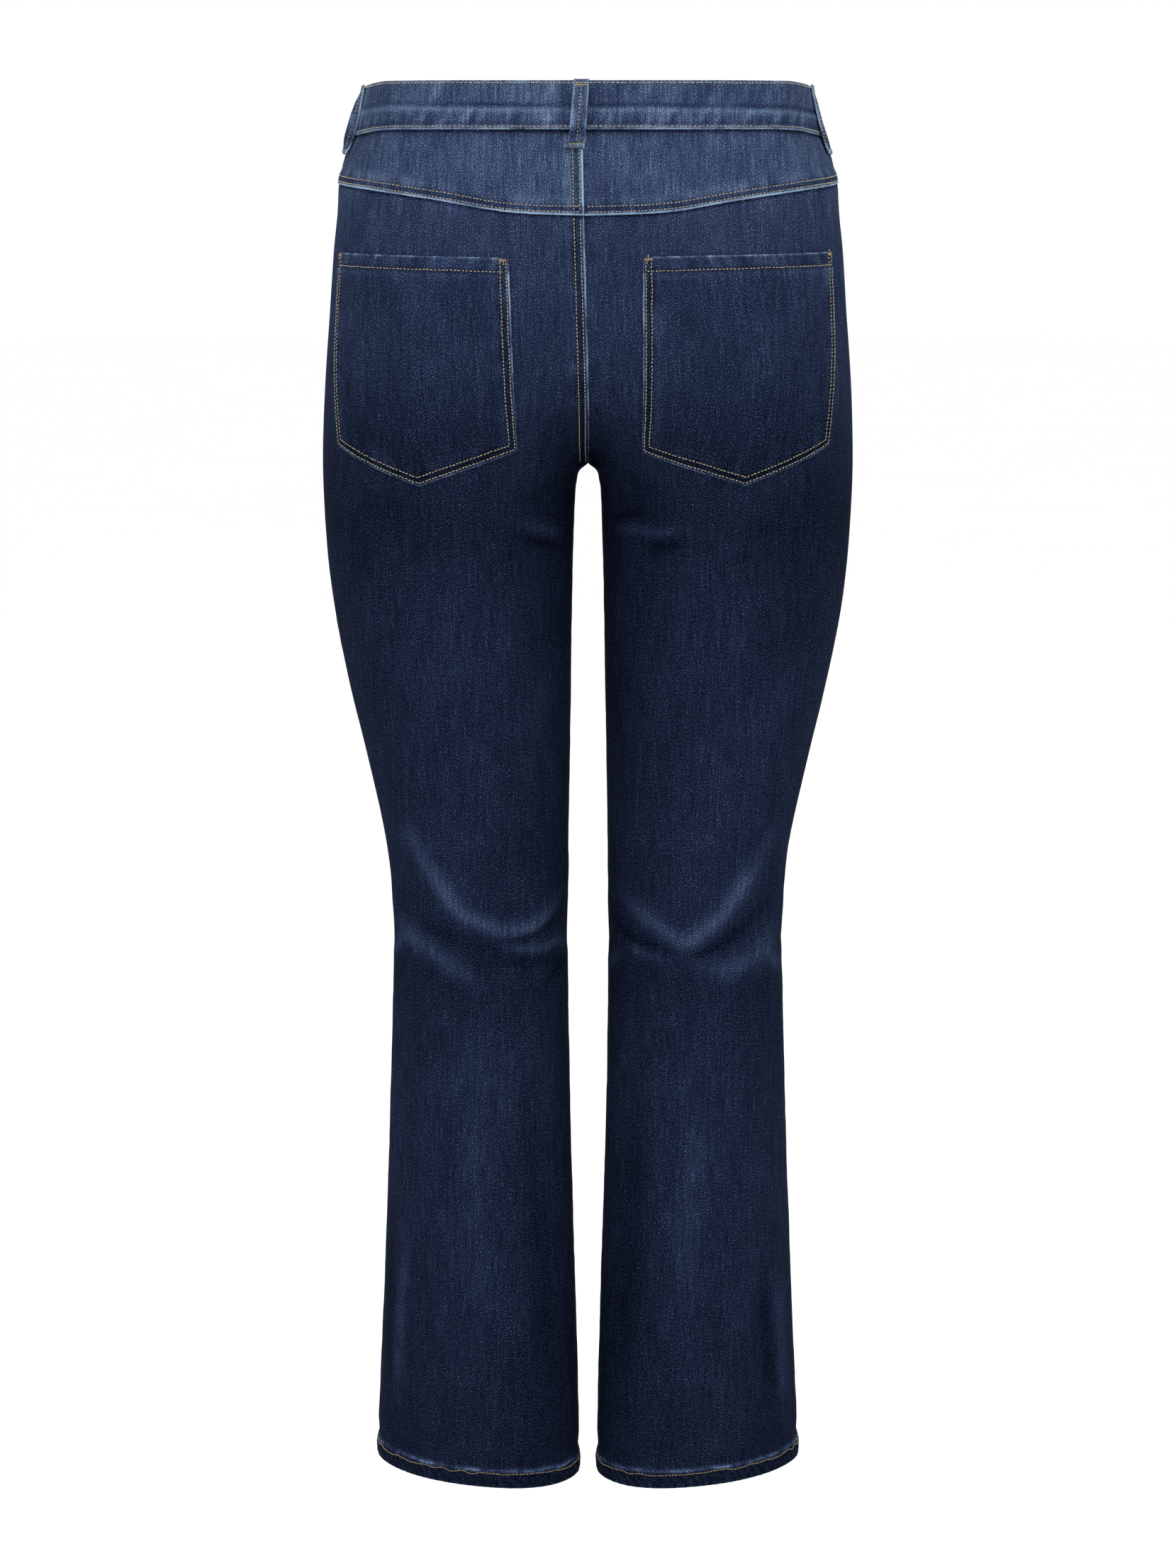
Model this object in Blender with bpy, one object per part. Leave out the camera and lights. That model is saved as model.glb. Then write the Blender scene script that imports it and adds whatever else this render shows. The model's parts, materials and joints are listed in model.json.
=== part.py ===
"""High-waisted flared jeans in stretch denim, women's plus size, in the shape they have when worn.

Metres, +Z up. The front faces -Y and the wearer's left is +X. The origin is the centre of the waist at
half the waistband's height, where the wearer holds the garment up. Every piece of cloth is a thin wall
made from one description of the worn shape: flat sections at named heights, each of four arcs that meet at
the side seam, the fullest point of the back or front, and the centre seam or inseam.
"""
import math
from collections import namedtuple
from functools import lru_cache

import bmesh
import bpy
from mathutils import Vector

MM = 0.001

# Driving dimensions ------------------------------------------------------------------------------------
WAISTBAND_HEIGHT = 38.0 * MM
WAISTBAND_THICKNESS = 2.2 * MM      # two layers of denim and a stiffener
WAISTBAND_PROUD = 0.8 * MM          # how far the band stands out from the cloth below it
UNDERLAP = 34.0 * MM                # the band's end that lies under the button
UNDERLAP_RAMP = 18.0 * MM           # over which the band steps in to pass under itself
CLOTH = 1.6 * MM                    # wall of one layer, seams pressed flat
SEAM_GAP = 0.3 * MM                 # between two pieces that are sewn together
HALF_GAP = SEAM_GAP / 2.0
HEM_HEIGHT = 11.0 * MM              # turned hem
HEM_STEP = 1.0 * MM                 # height over which the wall thickens into the hem
HEM_THICKNESS = 2.8 * MM
HEM_PROUD = 0.4 * MM
HEM_LEVEL = -1101.5 * MM            # height of the hem at the depth of the side seam
HEM_SLANT = 0.051                   # the hem drops this much for each metre towards the back
HEM_SLANT_START = -0.98             # height where the slant begins
CROTCH_LEVEL = -287.5 * MM
CROTCH_DEPTH = -5.0 * MM            # the four seams meet here, a little in front of the middle
SEAT_LEVEL = -165.0 * MM            # the fullest height of the seat
CENTRE_SEAM_SHIFT = 5.5 * MM        # the back seam sits this far to the wearer's left at the waist
SHIFT_REACH = 70.0 * MM             # the cloth takes up the shift over this distance
POCKET_THICKNESS = 1.3 * MM
POCKET_MARGIN = 30.0 * MM           # of the panel that is looked at below the pocket's point
LOOP_WIDTH = 12.0 * MM
LOOP_THICKNESS = 1.8 * MM
BUTTON_DIAMETER = 17.0 * MM
BUTTON_HEIGHT = 5.0 * MM
BUTTON_OFFSET = 14.0 * MM           # from the band's end to the button's centre
FLY_LENGTH = 150.0 * MM
FLY_SHIELD_WIDTH = 46.0 * MM
FLY_SHIELD_THICKNESS = 1.2 * MM
ZIP_WIDTH = 28.0 * MM
ZIP_LENGTH = 132.0 * MM
ZIP_THICKNESS = 1.0 * MM
INNER_CLEARANCE = 0.8 * MM          # between the front's inside and what lies behind it

# Worn shape --------------------------------------------------------------------------------------------
# Flat sections of the wearer's left half, in millimetres. side and inner are how far the outermost and
# innermost points lie from the middle, side_y and inner_y their depths, back_x and back_y the rearmost
# point, front_x and front_y the foremost. full is the roundness of the arcs (2 is an ellipse, more is
# squarer) and skew makes two opposite arcs rounder than the others, as on a leg turned outwards.
Section = namedtuple(
    "Section", "height side inner side_y inner_y back_x back_y front_x front_y full skew")
SECTIONS = (
    #        height  side   inner side_y inner_y back_x back_y front_x front_y full skew
    Section(   20.0, 178.7,  12.2,  -5.0,  -5.0,  88.0, 117.0,  84.0, -117.0, 2.35, 0.00),
    Section(  -19.0, 185.2,  12.2,  -5.0,  -5.0,  92.0, 122.0,  86.0, -120.0, 2.40, 0.00),
    Section(  -38.0, 194.8,  12.2,  -4.0,  -5.0,  94.0, 127.0,  88.0, -122.0, 2.40, 0.00),
    Section(  -54.0, 200.2,  12.2,  -3.0,  -5.0,  96.0, 131.0,  90.0, -124.0, 2.45, 0.00),
    Section(  -76.0, 201.3,  12.2,  -2.0,  -5.0,  98.0, 135.5,  92.0, -126.0, 2.50, 0.00),
    Section( -105.0, 204.2,  12.2,  -1.0,  -5.0, 100.0, 141.0,  94.0, -128.0, 2.55, 0.00),
    Section( -165.0, 208.4,  12.2,   0.0,  -5.0, 103.0, 147.0,  98.0, -129.0, 2.60, 0.00),
    Section( -225.0, 212.6,  12.2,   0.0,  -5.0, 106.0, 146.0, 102.0, -127.0, 2.50, 0.00),
    Section( -288.0, 214.6,  12.2,   0.0,  -5.0, 109.0, 136.0, 107.0, -121.0, 2.35, 0.00),
    Section( -330.0, 213.2,  12.3,   1.0,  -4.0, 111.0, 128.0, 110.0, -115.0, 2.25, 0.00),
    Section( -395.0, 206.8,  12.8,   2.0,  -2.0, 110.0, 120.0, 109.0, -108.0, 2.20, 0.00),
    Section( -465.0, 193.7,  13.6,   2.0,   0.0, 104.0, 112.0, 103.0, -101.0, 2.15, 0.00),
    Section( -533.0, 177.5,  14.7,   1.0,   2.0,  96.0, 104.0,  96.0,  -95.0, 2.10, 0.00),
    Section( -600.0, 163.8,  15.9,   0.0,   4.0,  89.0,  94.0,  90.0,  -88.0, 2.10, 0.00),
    Section( -655.0, 158.9,  16.3,   0.0,   5.0,  86.0,  86.0,  89.0,  -82.0, 2.10, 0.02),
    Section( -720.0, 159.5,  16.1,  -1.0,   8.0,  83.0,  84.0,  92.0,  -76.0, 2.08, 0.04),
    Section( -800.0, 161.7,  14.6,  -2.0,  14.0,  78.0,  90.0,  98.0,  -74.0, 2.05, 0.07),
    Section( -900.0, 165.2,  11.9,  -3.0,  23.0,  71.0,  97.0, 106.0,  -74.0, 2.02, 0.10),
    Section(-1000.0, 169.4,   8.9,  -4.0,  33.0,  64.0, 105.0, 114.0,  -75.0, 2.00, 0.12),
    Section(-1110.0, 174.3,   6.1,  -5.0,  45.0,  57.0, 116.0, 123.0,  -76.0, 1.99, 0.13),
)

# How far the cloth turns in to the centre seams, as a share of the way to the crotch: 0 runs straight
# across and 1 is the full inner arc of a leg.
Turn = namedtuple("Turn", "height back_turn front_turn")
TURNS = (
    #     height  back  front
    Turn(20.0, 0.0, 0.0),
    Turn(-19.0, 0.0, 0.0),
    Turn(-40.0, 0.05, 0.01),
    Turn(-70.0, 0.16, 0.04),
    Turn(-110.0, 0.26, 0.12),
    Turn(-165.0, 0.33, 0.20),
    Turn(-195.0, 0.39, 0.28),
    Turn(-225.0, 0.54, 0.47),
    Turn(-245.0, 0.725, 0.695),
    Turn(-260.0, 0.880, 0.873),
    Turn(-270.0, 0.950, 0.948),
    Turn(-279.0, 0.988, 0.988),
    Turn(-285.0, 0.9988, 0.9988),
    Turn(-287.5, 1.0, 1.0),
)
CREASE = 6.5 * MM                   # how sharply the legs part at the crotch
CREASE_END = -450.0 * MM            # the crease has opened out at this height
GAP_START = 9.0 * MM                # height over which the gap between the legs opens out
UNITLESS = ("full", "skew", "back_turn", "front_turn")      # all other columns are in millimetres
EVEN_BELOW = 30.0 * MM              # columns run evenly from the seat to this far below the crotch
EVEN_POWER = 9.0

# Yoke seam: how far along the cloth from the centre seam to the side seam, and its height in millimetres.
YokePoint = namedtuple("YokePoint", "share height")
YOKE_SEAM = (
    YokePoint(0.0, -86.5), YokePoint(0.22, -83.5), YokePoint(0.40, -74.5),
    YokePoint(0.58, -67.5), YokePoint(1.0, -60.0),
)

# Back pockets: the sideways places of the edge nearest the seam and of the point below, the heights of the
# corners, and the widths along the cloth at the top and at the lower corners, in millimetres. The cloth
# of the right one is drawn out a little more.
Pocket = namedtuple(
    "Pocket", "name side top_x bottom_x point_x inner_top outer_top inner_bottom outer_bottom point"
    " top_width bottom_width")
POCKETS = (
    Pocket("left", 1, 62.5, 56.5, 133.0, -121.5, -116.5, -270.5, -268.0, -298.5, 161.0, 159.0),
    Pocket("right", -1, 44.0, 44.3, 123.5, -121.0, -116.0, -272.0, -267.5, -298.3, 167.0, 161.0),
)

# Belt loops: where each stands round the band, and the clear room for a belt behind its middle. Station 0
# is centre front, 1 the left side seam, 2 centre back and 3 the right side seam.
Loop = namedtuple("Loop", "name station lean standoff")
LOOPS = (
    Loop("back", 1.998, -2.0 * MM, 6.6 * MM),
    Loop("side_left", 1.10, 0.0, 7.0 * MM),
    Loop("side_right", 2.89, 0.0, 7.0 * MM),
    Loop("front_left", 0.37, 0.0, 6.6 * MM),
    Loop("front_right", 3.63, 0.0, 6.6 * MM),
)
LOOP_TOP = 18.6 * MM
LOOP_FOOT = -35.0 * MM
# The loop's course from top to foot: share of its length, and how far it stands off, as a share of the
# full standoff.
LoopPoint = namedtuple("LoopPoint", "share standoff")
LOOP_COURSE = (
    LoopPoint(0.0, 0.0), LoopPoint(0.10, 0.22), LoopPoint(0.22, 0.93), LoopPoint(0.34, 1.0),
    LoopPoint(0.58, 1.0), LoopPoint(0.70, 0.93), LoopPoint(0.84, 0.28), LoopPoint(0.93, 0.06),
    LoopPoint(1.0, 0.0),
)
LOOP_FOOT_FLARE = 1.25              # the folded foot is wider than the loop
FLARE_START, FLARE_END = 0.82, 0.95     # shares of the loop's length between which it widens

# Folds at the knees: ridges across the cloth, each with its leg (1 left, -1 right), whether it lies on the
# back (1) or the front (-1), how far it rises and its half width in millimetres, and its course as
# (distance from the middle, height) in millimetres. A shallow trough lies below each ridge.
Fold = namedtuple("Fold", "leg face rise width course")
FOLDS = (
    Fold(1, 1, 3.4, 13.0, ((125, -597), (100, -632), (81, -648), (58, -657), (36, -643), (21, -623))),
    Fold(1, 1, 2.6, 12.0, ((151, -648), (130, -659), (107, -676), (91, -693))),
    Fold(1, 1, 2.0, 9.0, ((49, -664), (31, -671), (18, -659))),
    Fold(-1, 1, 3.4, 13.0, ((31, -625), (48, -641), (69, -655), (82, -659), (102, -639), (124, -612),
                            (141, -590))),
    Fold(-1, 1, 2.0, 10.0, ((20, -648), (35, -664), (48, -673))),
    Fold(-1, 1, 2.8, 12.0, ((86, -676), (109, -678), (134, -673), (154, -648))),
    Fold(1, -1, 2.2, 14.0, ((150, -640), (118, -662), (84, -668), (52, -655))),
    Fold(-1, -1, 2.4, 14.0, ((140, -628), (112, -652), (80, -672), (46, -668))),
)
TROUGH_SHARE = 0.55                 # depth of the trough, as a share of the ridge's height
TROUGH_DISTANCE = 1.7               # how far below the ridge it lies, in half widths
FOLD_FADE = 22.0 * MM               # over which a fold dies out past the side seam and inseam
FOLD_REACH = 5.0                    # half widths beyond which a fold isn't felt
FOLD_END = 0.22                     # share of the course over which each end dies down
FOLD_END_RISE = 0.25                # what is left of the ridge at its very ends
FOLD_TOP = max(point[1] for fold in FOLDS for point in fold.course) * MM + 0.08

# Rows of the panels, in millimetres from the seat to the hem, and the columns of each piece.
PANEL_ROWS = (
    -110, -138, -165, -192, -218, -242, -258, -270, -280, -285.5, -287.5, -292, -302, -318, -338, -358,
    -382, -410, -442, -476, -510, -544, -574, -598, -616, -632, -647, -661, -675, -690, -708, -732, -762,
    -798, -840, -886, -934, -984, -1034, -1072)
FRONT_TOP_ROWS = (-48, -78)
PANEL_COLUMNS = 12
YOKE_ROWS = 3
BAND_COLUMNS = 12
BAND_LEAST_STEP = 0.02              # no two stations of the band are closer, in quarters
FLY_ROWS, FLY_COLUMNS = 6, 4
SECTION_STEPS = 36
PROBE = 1.0 * MM                    # distance over which slopes are measured


# Curves ------------------------------------------------------------------------------------------------
def smoothstep(low, high, value):
    share = min(1.0, max(0.0, (value - low) / (high - low)))
    return share * share * (3.0 - 2.0 * share)


def lerp(start, end, share):
    return start + (end - start) * share


def curve_through(xs, ys):
    """A smooth curve through points, whose slope at each is the mean of its neighbours' slopes."""
    slopes = [(ys[i + 1] - ys[i]) / (xs[i + 1] - xs[i]) for i in range(len(xs) - 1)]
    tangents = [slopes[0]]
    for i in range(1, len(xs) - 1):
        before, after = xs[i] - xs[i - 1], xs[i + 1] - xs[i]
        tangents.append((slopes[i - 1] * after + slopes[i] * before) / (before + after))
    tangents.append(slopes[-1])

    def value(x):
        x = min(xs[-1], max(xs[0], x))
        i = next((k for k in range(len(xs) - 2) if x <= xs[k + 1]), len(xs) - 2)
        step = xs[i + 1] - xs[i]
        t = (x - xs[i]) / step
        return (ys[i] * (1 + 2 * t) * (1 - t) ** 2 + tangents[i] * step * t * (1 - t) ** 2
                + ys[i + 1] * t * t * (3 - 2 * t) + tangents[i + 1] * step * t * t * (t - 1))
    return value


def table_curves(rows):
    """One curve by height for each other column of a table in millimetres."""
    ordered = sorted(rows, key=lambda row: row.height)
    heights = [row.height * MM for row in ordered]
    curves = {}
    for name in rows[0]._fields[1:]:
        unit = 1.0 if name in UNITLESS else MM
        curves[name] = curve_through(heights, [getattr(row, name) * unit for row in ordered])
    return curves


SHAPE = table_curves(SECTIONS)
TURN = table_curves(TURNS)
YOKE_HEIGHT = curve_through([p.share for p in YOKE_SEAM], [p.height * MM for p in YOKE_SEAM])


def crease(height):
    return CREASE * smoothstep(CREASE_END, CROTCH_LEVEL, height)


def inner_reach(height):
    """Where a leg's inner arc ends, before the crease is taken off."""
    below = CROTCH_LEVEL - height
    if below <= 0.0:
        return crease(height)
    wide = SHAPE["inner"](height)
    return wide - (wide - CREASE) * math.exp(-below / GAP_START)


# Sections ----------------------------------------------------------------------------------------------
@lru_cache(maxsize=None)
def half_section(face, height):
    """Points of one half section from the side seam to the inner end, with the length to each."""
    side, side_y = SHAPE["side"](height), SHAPE["side_y"](height)
    mid_x, mid_y = SHAPE[face + "_x"](height), SHAPE[face + "_y"](height)
    skew = SHAPE["skew"](height) * (1.0 if face == "back" else -1.0)
    outer_power = 2.0 / (SHAPE["full"](height) - skew)
    inner_power = 2.0 / (SHAPE["full"](height) + skew)
    reach, inner_y = inner_reach(height), SHAPE["inner_y"](height)
    turn = max(0.0, TURN[face + "_turn"](height)) if height > CROTCH_LEVEL else 1.0
    sharp = crease(height) ** 2 / (1.0 - (crease(height) / mid_x) ** 2)
    points = []
    for step in range(SECTION_STEPS + 1):
        angle = math.pi / 2 * step / SECTION_STEPS
        across, along = math.cos(angle) ** outer_power, math.sin(angle) ** outer_power
        points.append((mid_x + (side - mid_x) * across, side_y + (mid_y - side_y) * along))
    for step in range(1, SECTION_STEPS + 1):
        share = math.sin(math.pi / 2 * step / SECTION_STEPS) ** inner_power
        x = mid_x - (mid_x - reach) * share
        x = math.sqrt(max(0.0, x * x - sharp * (1.0 - (x / mid_x) ** 2)))
        drop = max(0.0, 1.0 - (turn * share) ** (2.0 / inner_power)) ** (inner_power / 2.0)
        points.append((x, inner_y + (mid_y - inner_y) * drop))
    lengths = [0.0]
    for (x0, y0), (x1, y1) in zip(points, points[1:]):
        lengths.append(lengths[-1] + math.hypot(x1 - x0, y1 - y0))
    return points, lengths


def half_length(face, height):
    return half_section(face, height)[1][-1]


def length_along(face, share, height):
    """Length from the side seam to a share of the way round.

    Columns keep an even course down the leg, and only those next to the inner end take up the change in
    length where the centre seam turns under.
    """
    length = half_length(face, height)
    foot = CROTCH_LEVEL - EVEN_BELOW
    even = length
    if foot < height < SEAT_LEVEL:
        change = smoothstep(foot, SEAT_LEVEL, height)
        even = lerp(half_length(face, foot), half_length(face, SEAT_LEVEL), change)
    return share * even + (length - even) * share ** EVEN_POWER


def section_point(face, share, height):
    """A point of the left half at a share of the way from the side seam to the inner end.

    Shares outside 0 to 1 carry on over the seam: into the other face, or over the middle.
    """
    other = "front" if face == "back" else "back"
    if share < 0.0:
        excess = -share * half_length(face, height) / half_length(other, height)
        return section_point(other, excess, height)
    if share > 1.0:
        if height > CROTCH_LEVEL:
            x, y = section_point(face, 2.0 - share, height)
            return -x, y
        excess = (share - 1.0) * half_length(face, height) / half_length(other, height)
        return section_point(other, 1.0 - excess, height)
    points, lengths = half_section(face, height)
    target = length_along(face, share, height)
    low, high = 0, len(lengths) - 1
    while high - low > 1:
        middle = (low + high) // 2
        if lengths[middle] <= target:
            low = middle
        else:
            high = middle
    part = (target - lengths[low]) / max(lengths[high] - lengths[low], 1e-9)
    (x0, y0), (x1, y1) = points[low], points[high]
    return lerp(x0, x1, part), lerp(y0, y1, part)


def share_at(face, x, height):
    """The share of the way round where a half section is at distance x from the middle."""
    low, high = 0.0, 1.0
    for _ in range(40):
        middle = (low + high) / 2
        if section_point(face, middle, height)[0] > x:
            low = middle
        else:
            high = middle
    return low


# Folds -------------------------------------------------------------------------------------------------
def distance_to_course(course, x, z):
    """Distance from a point to a course, which side it lies on, and how far along it is, 0 to 1."""
    best = (1e9, 0.0, 0.0)
    last = len(course) - 1
    for i in range(last):
        (x0, z0), (x1, z1) = course[i], course[i + 1]
        dx, dz = (x1 - x0) * MM, (z1 - z0) * MM
        along = ((x - x0 * MM) * dx + (z - z0 * MM) * dz) / (dx * dx + dz * dz)
        part = min(1.0, max(0.0, along))
        away_x, away_z = x - x0 * MM - dx * part, z - z0 * MM - dz * part
        distance = math.hypot(away_x, away_z)
        if distance < best[0]:
            best = (distance, away_z, (i + part) / last)
    return best


def fold_rise(side, x, y, z):
    """How far the folds push the cloth out of a leg at a point."""
    if z > FOLD_TOP:
        return 0.0
    rise = 0.0
    for fold in FOLDS:
        if fold.leg != side:
            continue
        distance, above, along = distance_to_course(fold.course, x, z)
        width = fold.width * MM
        if distance > FOLD_REACH * width:
            continue
        signed = distance if above >= 0.0 else -distance
        ridge = math.exp(-(signed / width) ** 2)
        trough = TROUGH_SHARE * math.exp(-((signed + TROUGH_DISTANCE * width) / width) ** 2)
        ends = smoothstep(0.0, FOLD_END, along) * smoothstep(0.0, FOLD_END, 1.0 - along)
        facing = smoothstep(-FOLD_FADE, FOLD_FADE, fold.face * y)
        rise += fold.rise * MM * (ridge - trough) * max(FOLD_END_RISE, ends) * facing
    return rise


# Body surface ------------------------------------------------------------------------------------------
def body_point(side, face, share, height):
    """A point of the worn cloth's outer face. side is 1 for the wearer's left and -1 for the right."""
    x, y = section_point(face, share, height)
    z = height
    leg_x = (SHAPE["side"](height) + SHAPE["inner"](height)) / 2.0
    leg_y = (SHAPE["back_y"](height) + SHAPE["front_y"](height)) / 2.0
    rise = fold_rise(side, x, y, z)
    if rise:
        away = Vector((x - leg_x, y - leg_y))
        away.normalize()
        x, y = x + away.x * rise, y + away.y * rise
    z += -HEM_SLANT * y * smoothstep(HEM_SLANT_START, HEM_LEVEL, height)
    x *= side
    if y > 0.0 and height > CROTCH_LEVEL:
        near = max(0.0, 1.0 - abs(x) / SHIFT_REACH) ** 2
        drift = smoothstep(CROTCH_LEVEL, 0.0, height) * CENTRE_SEAM_SHIFT
        x += drift * near
    return Vector((x, y, z))


def body_normal(side, face, share, height):
    """The outward direction, the same for both pieces on a seam."""
    step = PROBE / half_length(face, height)
    around = body_point(side, face, share + step, height) - body_point(side, face, share - step, height)
    up = body_point(side, face, share, height + PROBE) - body_point(side, face, share, height - PROBE)
    normal = around.cross(up)
    if (face == "back") == (side > 0):
        normal.negate()
    return -normal.normalized()


class Spot:
    """A place on the worn cloth with its outward direction."""

    def __init__(self, point, normal):
        self.point = point
        self.normal = normal

    def moved(self, distance):
        return self.point + self.normal * distance


def body_spot(side, face, share, height):
    return Spot(body_point(side, face, share, height), body_normal(side, face, share, height))


def panel_spot(side, face, share, height):
    """A spot of a panel, whose edge on the centre seam stays clear of the other side's."""
    spot = body_spot(side, face, trimmed(share, face, height), height)
    if share == 1.0 and height > CROTCH_LEVEL:
        spot.point.x += side * HALF_GAP
        spot.normal.x = 0.0
        spot.normal.normalize()
    return spot


def trimmed(share, face, height):
    """Keeps a panel's edge half a seam gap from the seam."""
    trim = HALF_GAP / half_length(face, height)
    if share <= 0.0:
        return trim
    if share >= 1.0 and height <= CROTCH_LEVEL:
        return 1.0 - trim
    return share


# Building solids ---------------------------------------------------------------------------------------
def new_object(name, mesh, material):
    mesh.materials.append(material)
    thing = bpy.data.objects.new(name, mesh)
    bpy.context.scene.collection.objects.link(thing)
    return thing


def wall_from_faces(name, outer, inner, faces, material):
    """A closed wall between two matching layers of points. Faces are triples seen from outside."""
    count = len(outer)
    edges = {}
    for face in faces:
        for a, b in zip(face, face[1:] + face[:1]):
            edges[(a, b)] = edges.get((a, b), 0) + 1
    solid = [tuple(face) for face in faces]
    solid += [tuple(index + count for index in reversed(face)) for face in faces]
    for a, b in edges:
        if (b, a) not in edges:
            solid += [(b, a, a + count), (b, a + count, b + count)]
    mesh = bpy.data.meshes.new(name)
    mesh.from_pydata([tuple(p) for p in outer] + [tuple(p) for p in inner], [], solid)
    tidy = bmesh.new()
    tidy.from_mesh(mesh)
    bmesh.ops.recalc_face_normals(tidy, faces=tidy.faces)
    tidy.to_mesh(mesh)
    tidy.free()
    mesh.shade_smooth()
    mesh.set_sharp_from_angle(angle=math.radians(50.0))
    return new_object(name, mesh, material)


def grid_faces(rows, columns):
    """Triangles of a grid whose points run along each row in turn."""
    faces = []
    for row in range(rows - 1):
        for column in range(columns - 1):
            a = row * columns + column
            b, c, d = a + 1, a + columns + 1, a + columns
            faces += [(a, b, c), (a, c, d)]
    return faces


def wall_from_grid(name, grid, material):
    """grid holds rows of (spot, how far the outer face is moved out, thickness)."""
    outer = [spot.moved(proud) for row in grid for spot, proud, thick in row]
    inner = [spot.moved(proud - thick) for row in grid for spot, proud, thick in row]
    faces = grid_faces(len(grid), len(grid[0]))
    return wall_from_faces(name, outer, inner, faces, material)


def cloth_material(name, colour, roughness=0.85, metallic=0.0):
    material = bpy.data.materials.new(name)
    material.use_nodes = True
    shader = material.node_tree.nodes["Principled BSDF"]
    shader.inputs["Base Color"].default_value = (*colour, 1.0)
    shader.inputs["Roughness"].default_value = roughness
    shader.inputs["Metallic"].default_value = metallic
    material.diffuse_color = (*colour, 1.0)
    return material


# Pieces ------------------------------------------------------------------------------------------------
def panel_columns():
    return [column / PANEL_COLUMNS for column in range(PANEL_COLUMNS + 1)]


def yoke_seam_height(share):
    """Height of the yoke seam at a share of the way from the side seam to the centre seam."""
    return YOKE_HEIGHT(1.0 - share)


def panel_row(side, face, heights, proud=0.0, thick=CLOTH):
    row = []
    for share, height in zip(panel_columns(), heights):
        row.append((panel_spot(side, face, share, height), proud, thick))
    return row


def leg_rows(side, face):
    """The rows that back and front panels share, from below the yoke to the hem."""
    level = [height * MM for height in PANEL_ROWS]
    columns = PANEL_COLUMNS + 1
    rows = [panel_row(side, face, [height] * columns) for height in level]
    hem_top = HEM_LEVEL + HEM_HEIGHT
    rows.append(panel_row(side, face, [hem_top + HEM_STEP] * columns))
    rows.append(panel_row(side, face, [hem_top] * columns, HEM_PROUD, HEM_THICKNESS))
    rows.append(panel_row(side, face, [HEM_LEVEL] * columns, HEM_PROUD, HEM_THICKNESS))
    return rows


def back_panel(side, name, material):
    seam = [yoke_seam_height(share) - HALF_GAP for share in panel_columns()]
    below = [(height + PANEL_ROWS[0] * MM) / 2.0 for height in seam]
    rows = [panel_row(side, "back", seam), panel_row(side, "back", below)]
    return wall_from_grid("back_panel_" + name, rows + leg_rows(side, "back"), material)


def front_panel(side, name, material):
    columns = PANEL_COLUMNS + 1
    top = -WAISTBAND_HEIGHT / 2.0 - HALF_GAP
    heights = [top] + [height * MM for height in FRONT_TOP_ROWS]
    rows = [panel_row(side, "front", [height] * columns) for height in heights]
    return wall_from_grid("front_panel_" + name, rows + leg_rows(side, "front"), material)


def back_yoke(side, name, material):
    top = -WAISTBAND_HEIGHT / 2.0 - HALF_GAP
    rows = []
    for row in range(YOKE_ROWS + 1):
        down = row / YOKE_ROWS
        heights = [lerp(top, yoke_seam_height(share) + HALF_GAP, down) for share in panel_columns()]
        rows.append(panel_row(side, "back", heights))
    return wall_from_grid("back_yoke_" + name, rows, material)


def band_station(station):
    """Side, face and share of a place round the band, counted in quarters from centre front."""
    station %= 4.0
    if station < 1.0:
        return 1, "front", 1.0 - station
    if station < 2.0:
        return 1, "back", station - 1.0
    if station < 3.0:
        return -1, "back", 3.0 - station
    return -1, "front", station - 3.0


def band_spot(station, height):
    side, face, share = band_station(station)
    return body_spot(side, face, share, height)


def waistband(material):
    quarter = half_length("front", 0.0)
    ramp_start = 4.0 - UNDERLAP_RAMP / quarter
    end = 4.0 + UNDERLAP / quarter
    stations = [column / BAND_COLUMNS for column in range(4 * BAND_COLUMNS)]
    stations = [s for s in stations if s < ramp_start - BAND_LEAST_STEP]
    stations += [ramp_start, (ramp_start + 4.0) / 2.0, 4.0, (4.0 + end) / 2.0, end]
    step_in = WAISTBAND_THICKNESS + 2.0 * SEAM_GAP
    grid = []
    for height in (WAISTBAND_HEIGHT / 2.0, 0.0, -WAISTBAND_HEIGHT / 2.0):
        row = []
        for station in stations:
            proud = WAISTBAND_PROUD - step_in * smoothstep(ramp_start, 4.0, station)
            row.append((band_spot(station, height), proud, WAISTBAND_THICKNESS))
        grid.append(row)
    return wall_from_grid("waistband", grid, material)


def corner_weights(a, b, c, place):
    """Shares of a flat triangle's three corners in a place."""
    area = (b.x - a.x) * (c.y - a.y) - (b.y - a.y) * (c.x - a.x)
    first = ((b.x - place.x) * (c.y - place.y) - (b.y - place.y) * (c.x - place.x)) / area
    second = ((c.x - place.x) * (a.y - place.y) - (c.y - place.y) * (a.x - place.x)) / area
    return first, second, 1.0 - first - second


def facet_spot(places, spots, triangles, place):
    """A place on a panel's own facets, and the panel's outward direction there."""
    def inside(triangle):
        return min(corner_weights(*(places[i] for i in triangle), place))
    triangle = max(triangles, key=inside)
    weights = corner_weights(*(places[i] for i in triangle), place)
    point = sum((spots[i].point * weight for i, weight in zip(triangle, weights)), Vector())
    normal = sum((spots[i].normal * weight for i, weight in zip(triangle, weights)), Vector())
    return Spot(point, normal)


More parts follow.
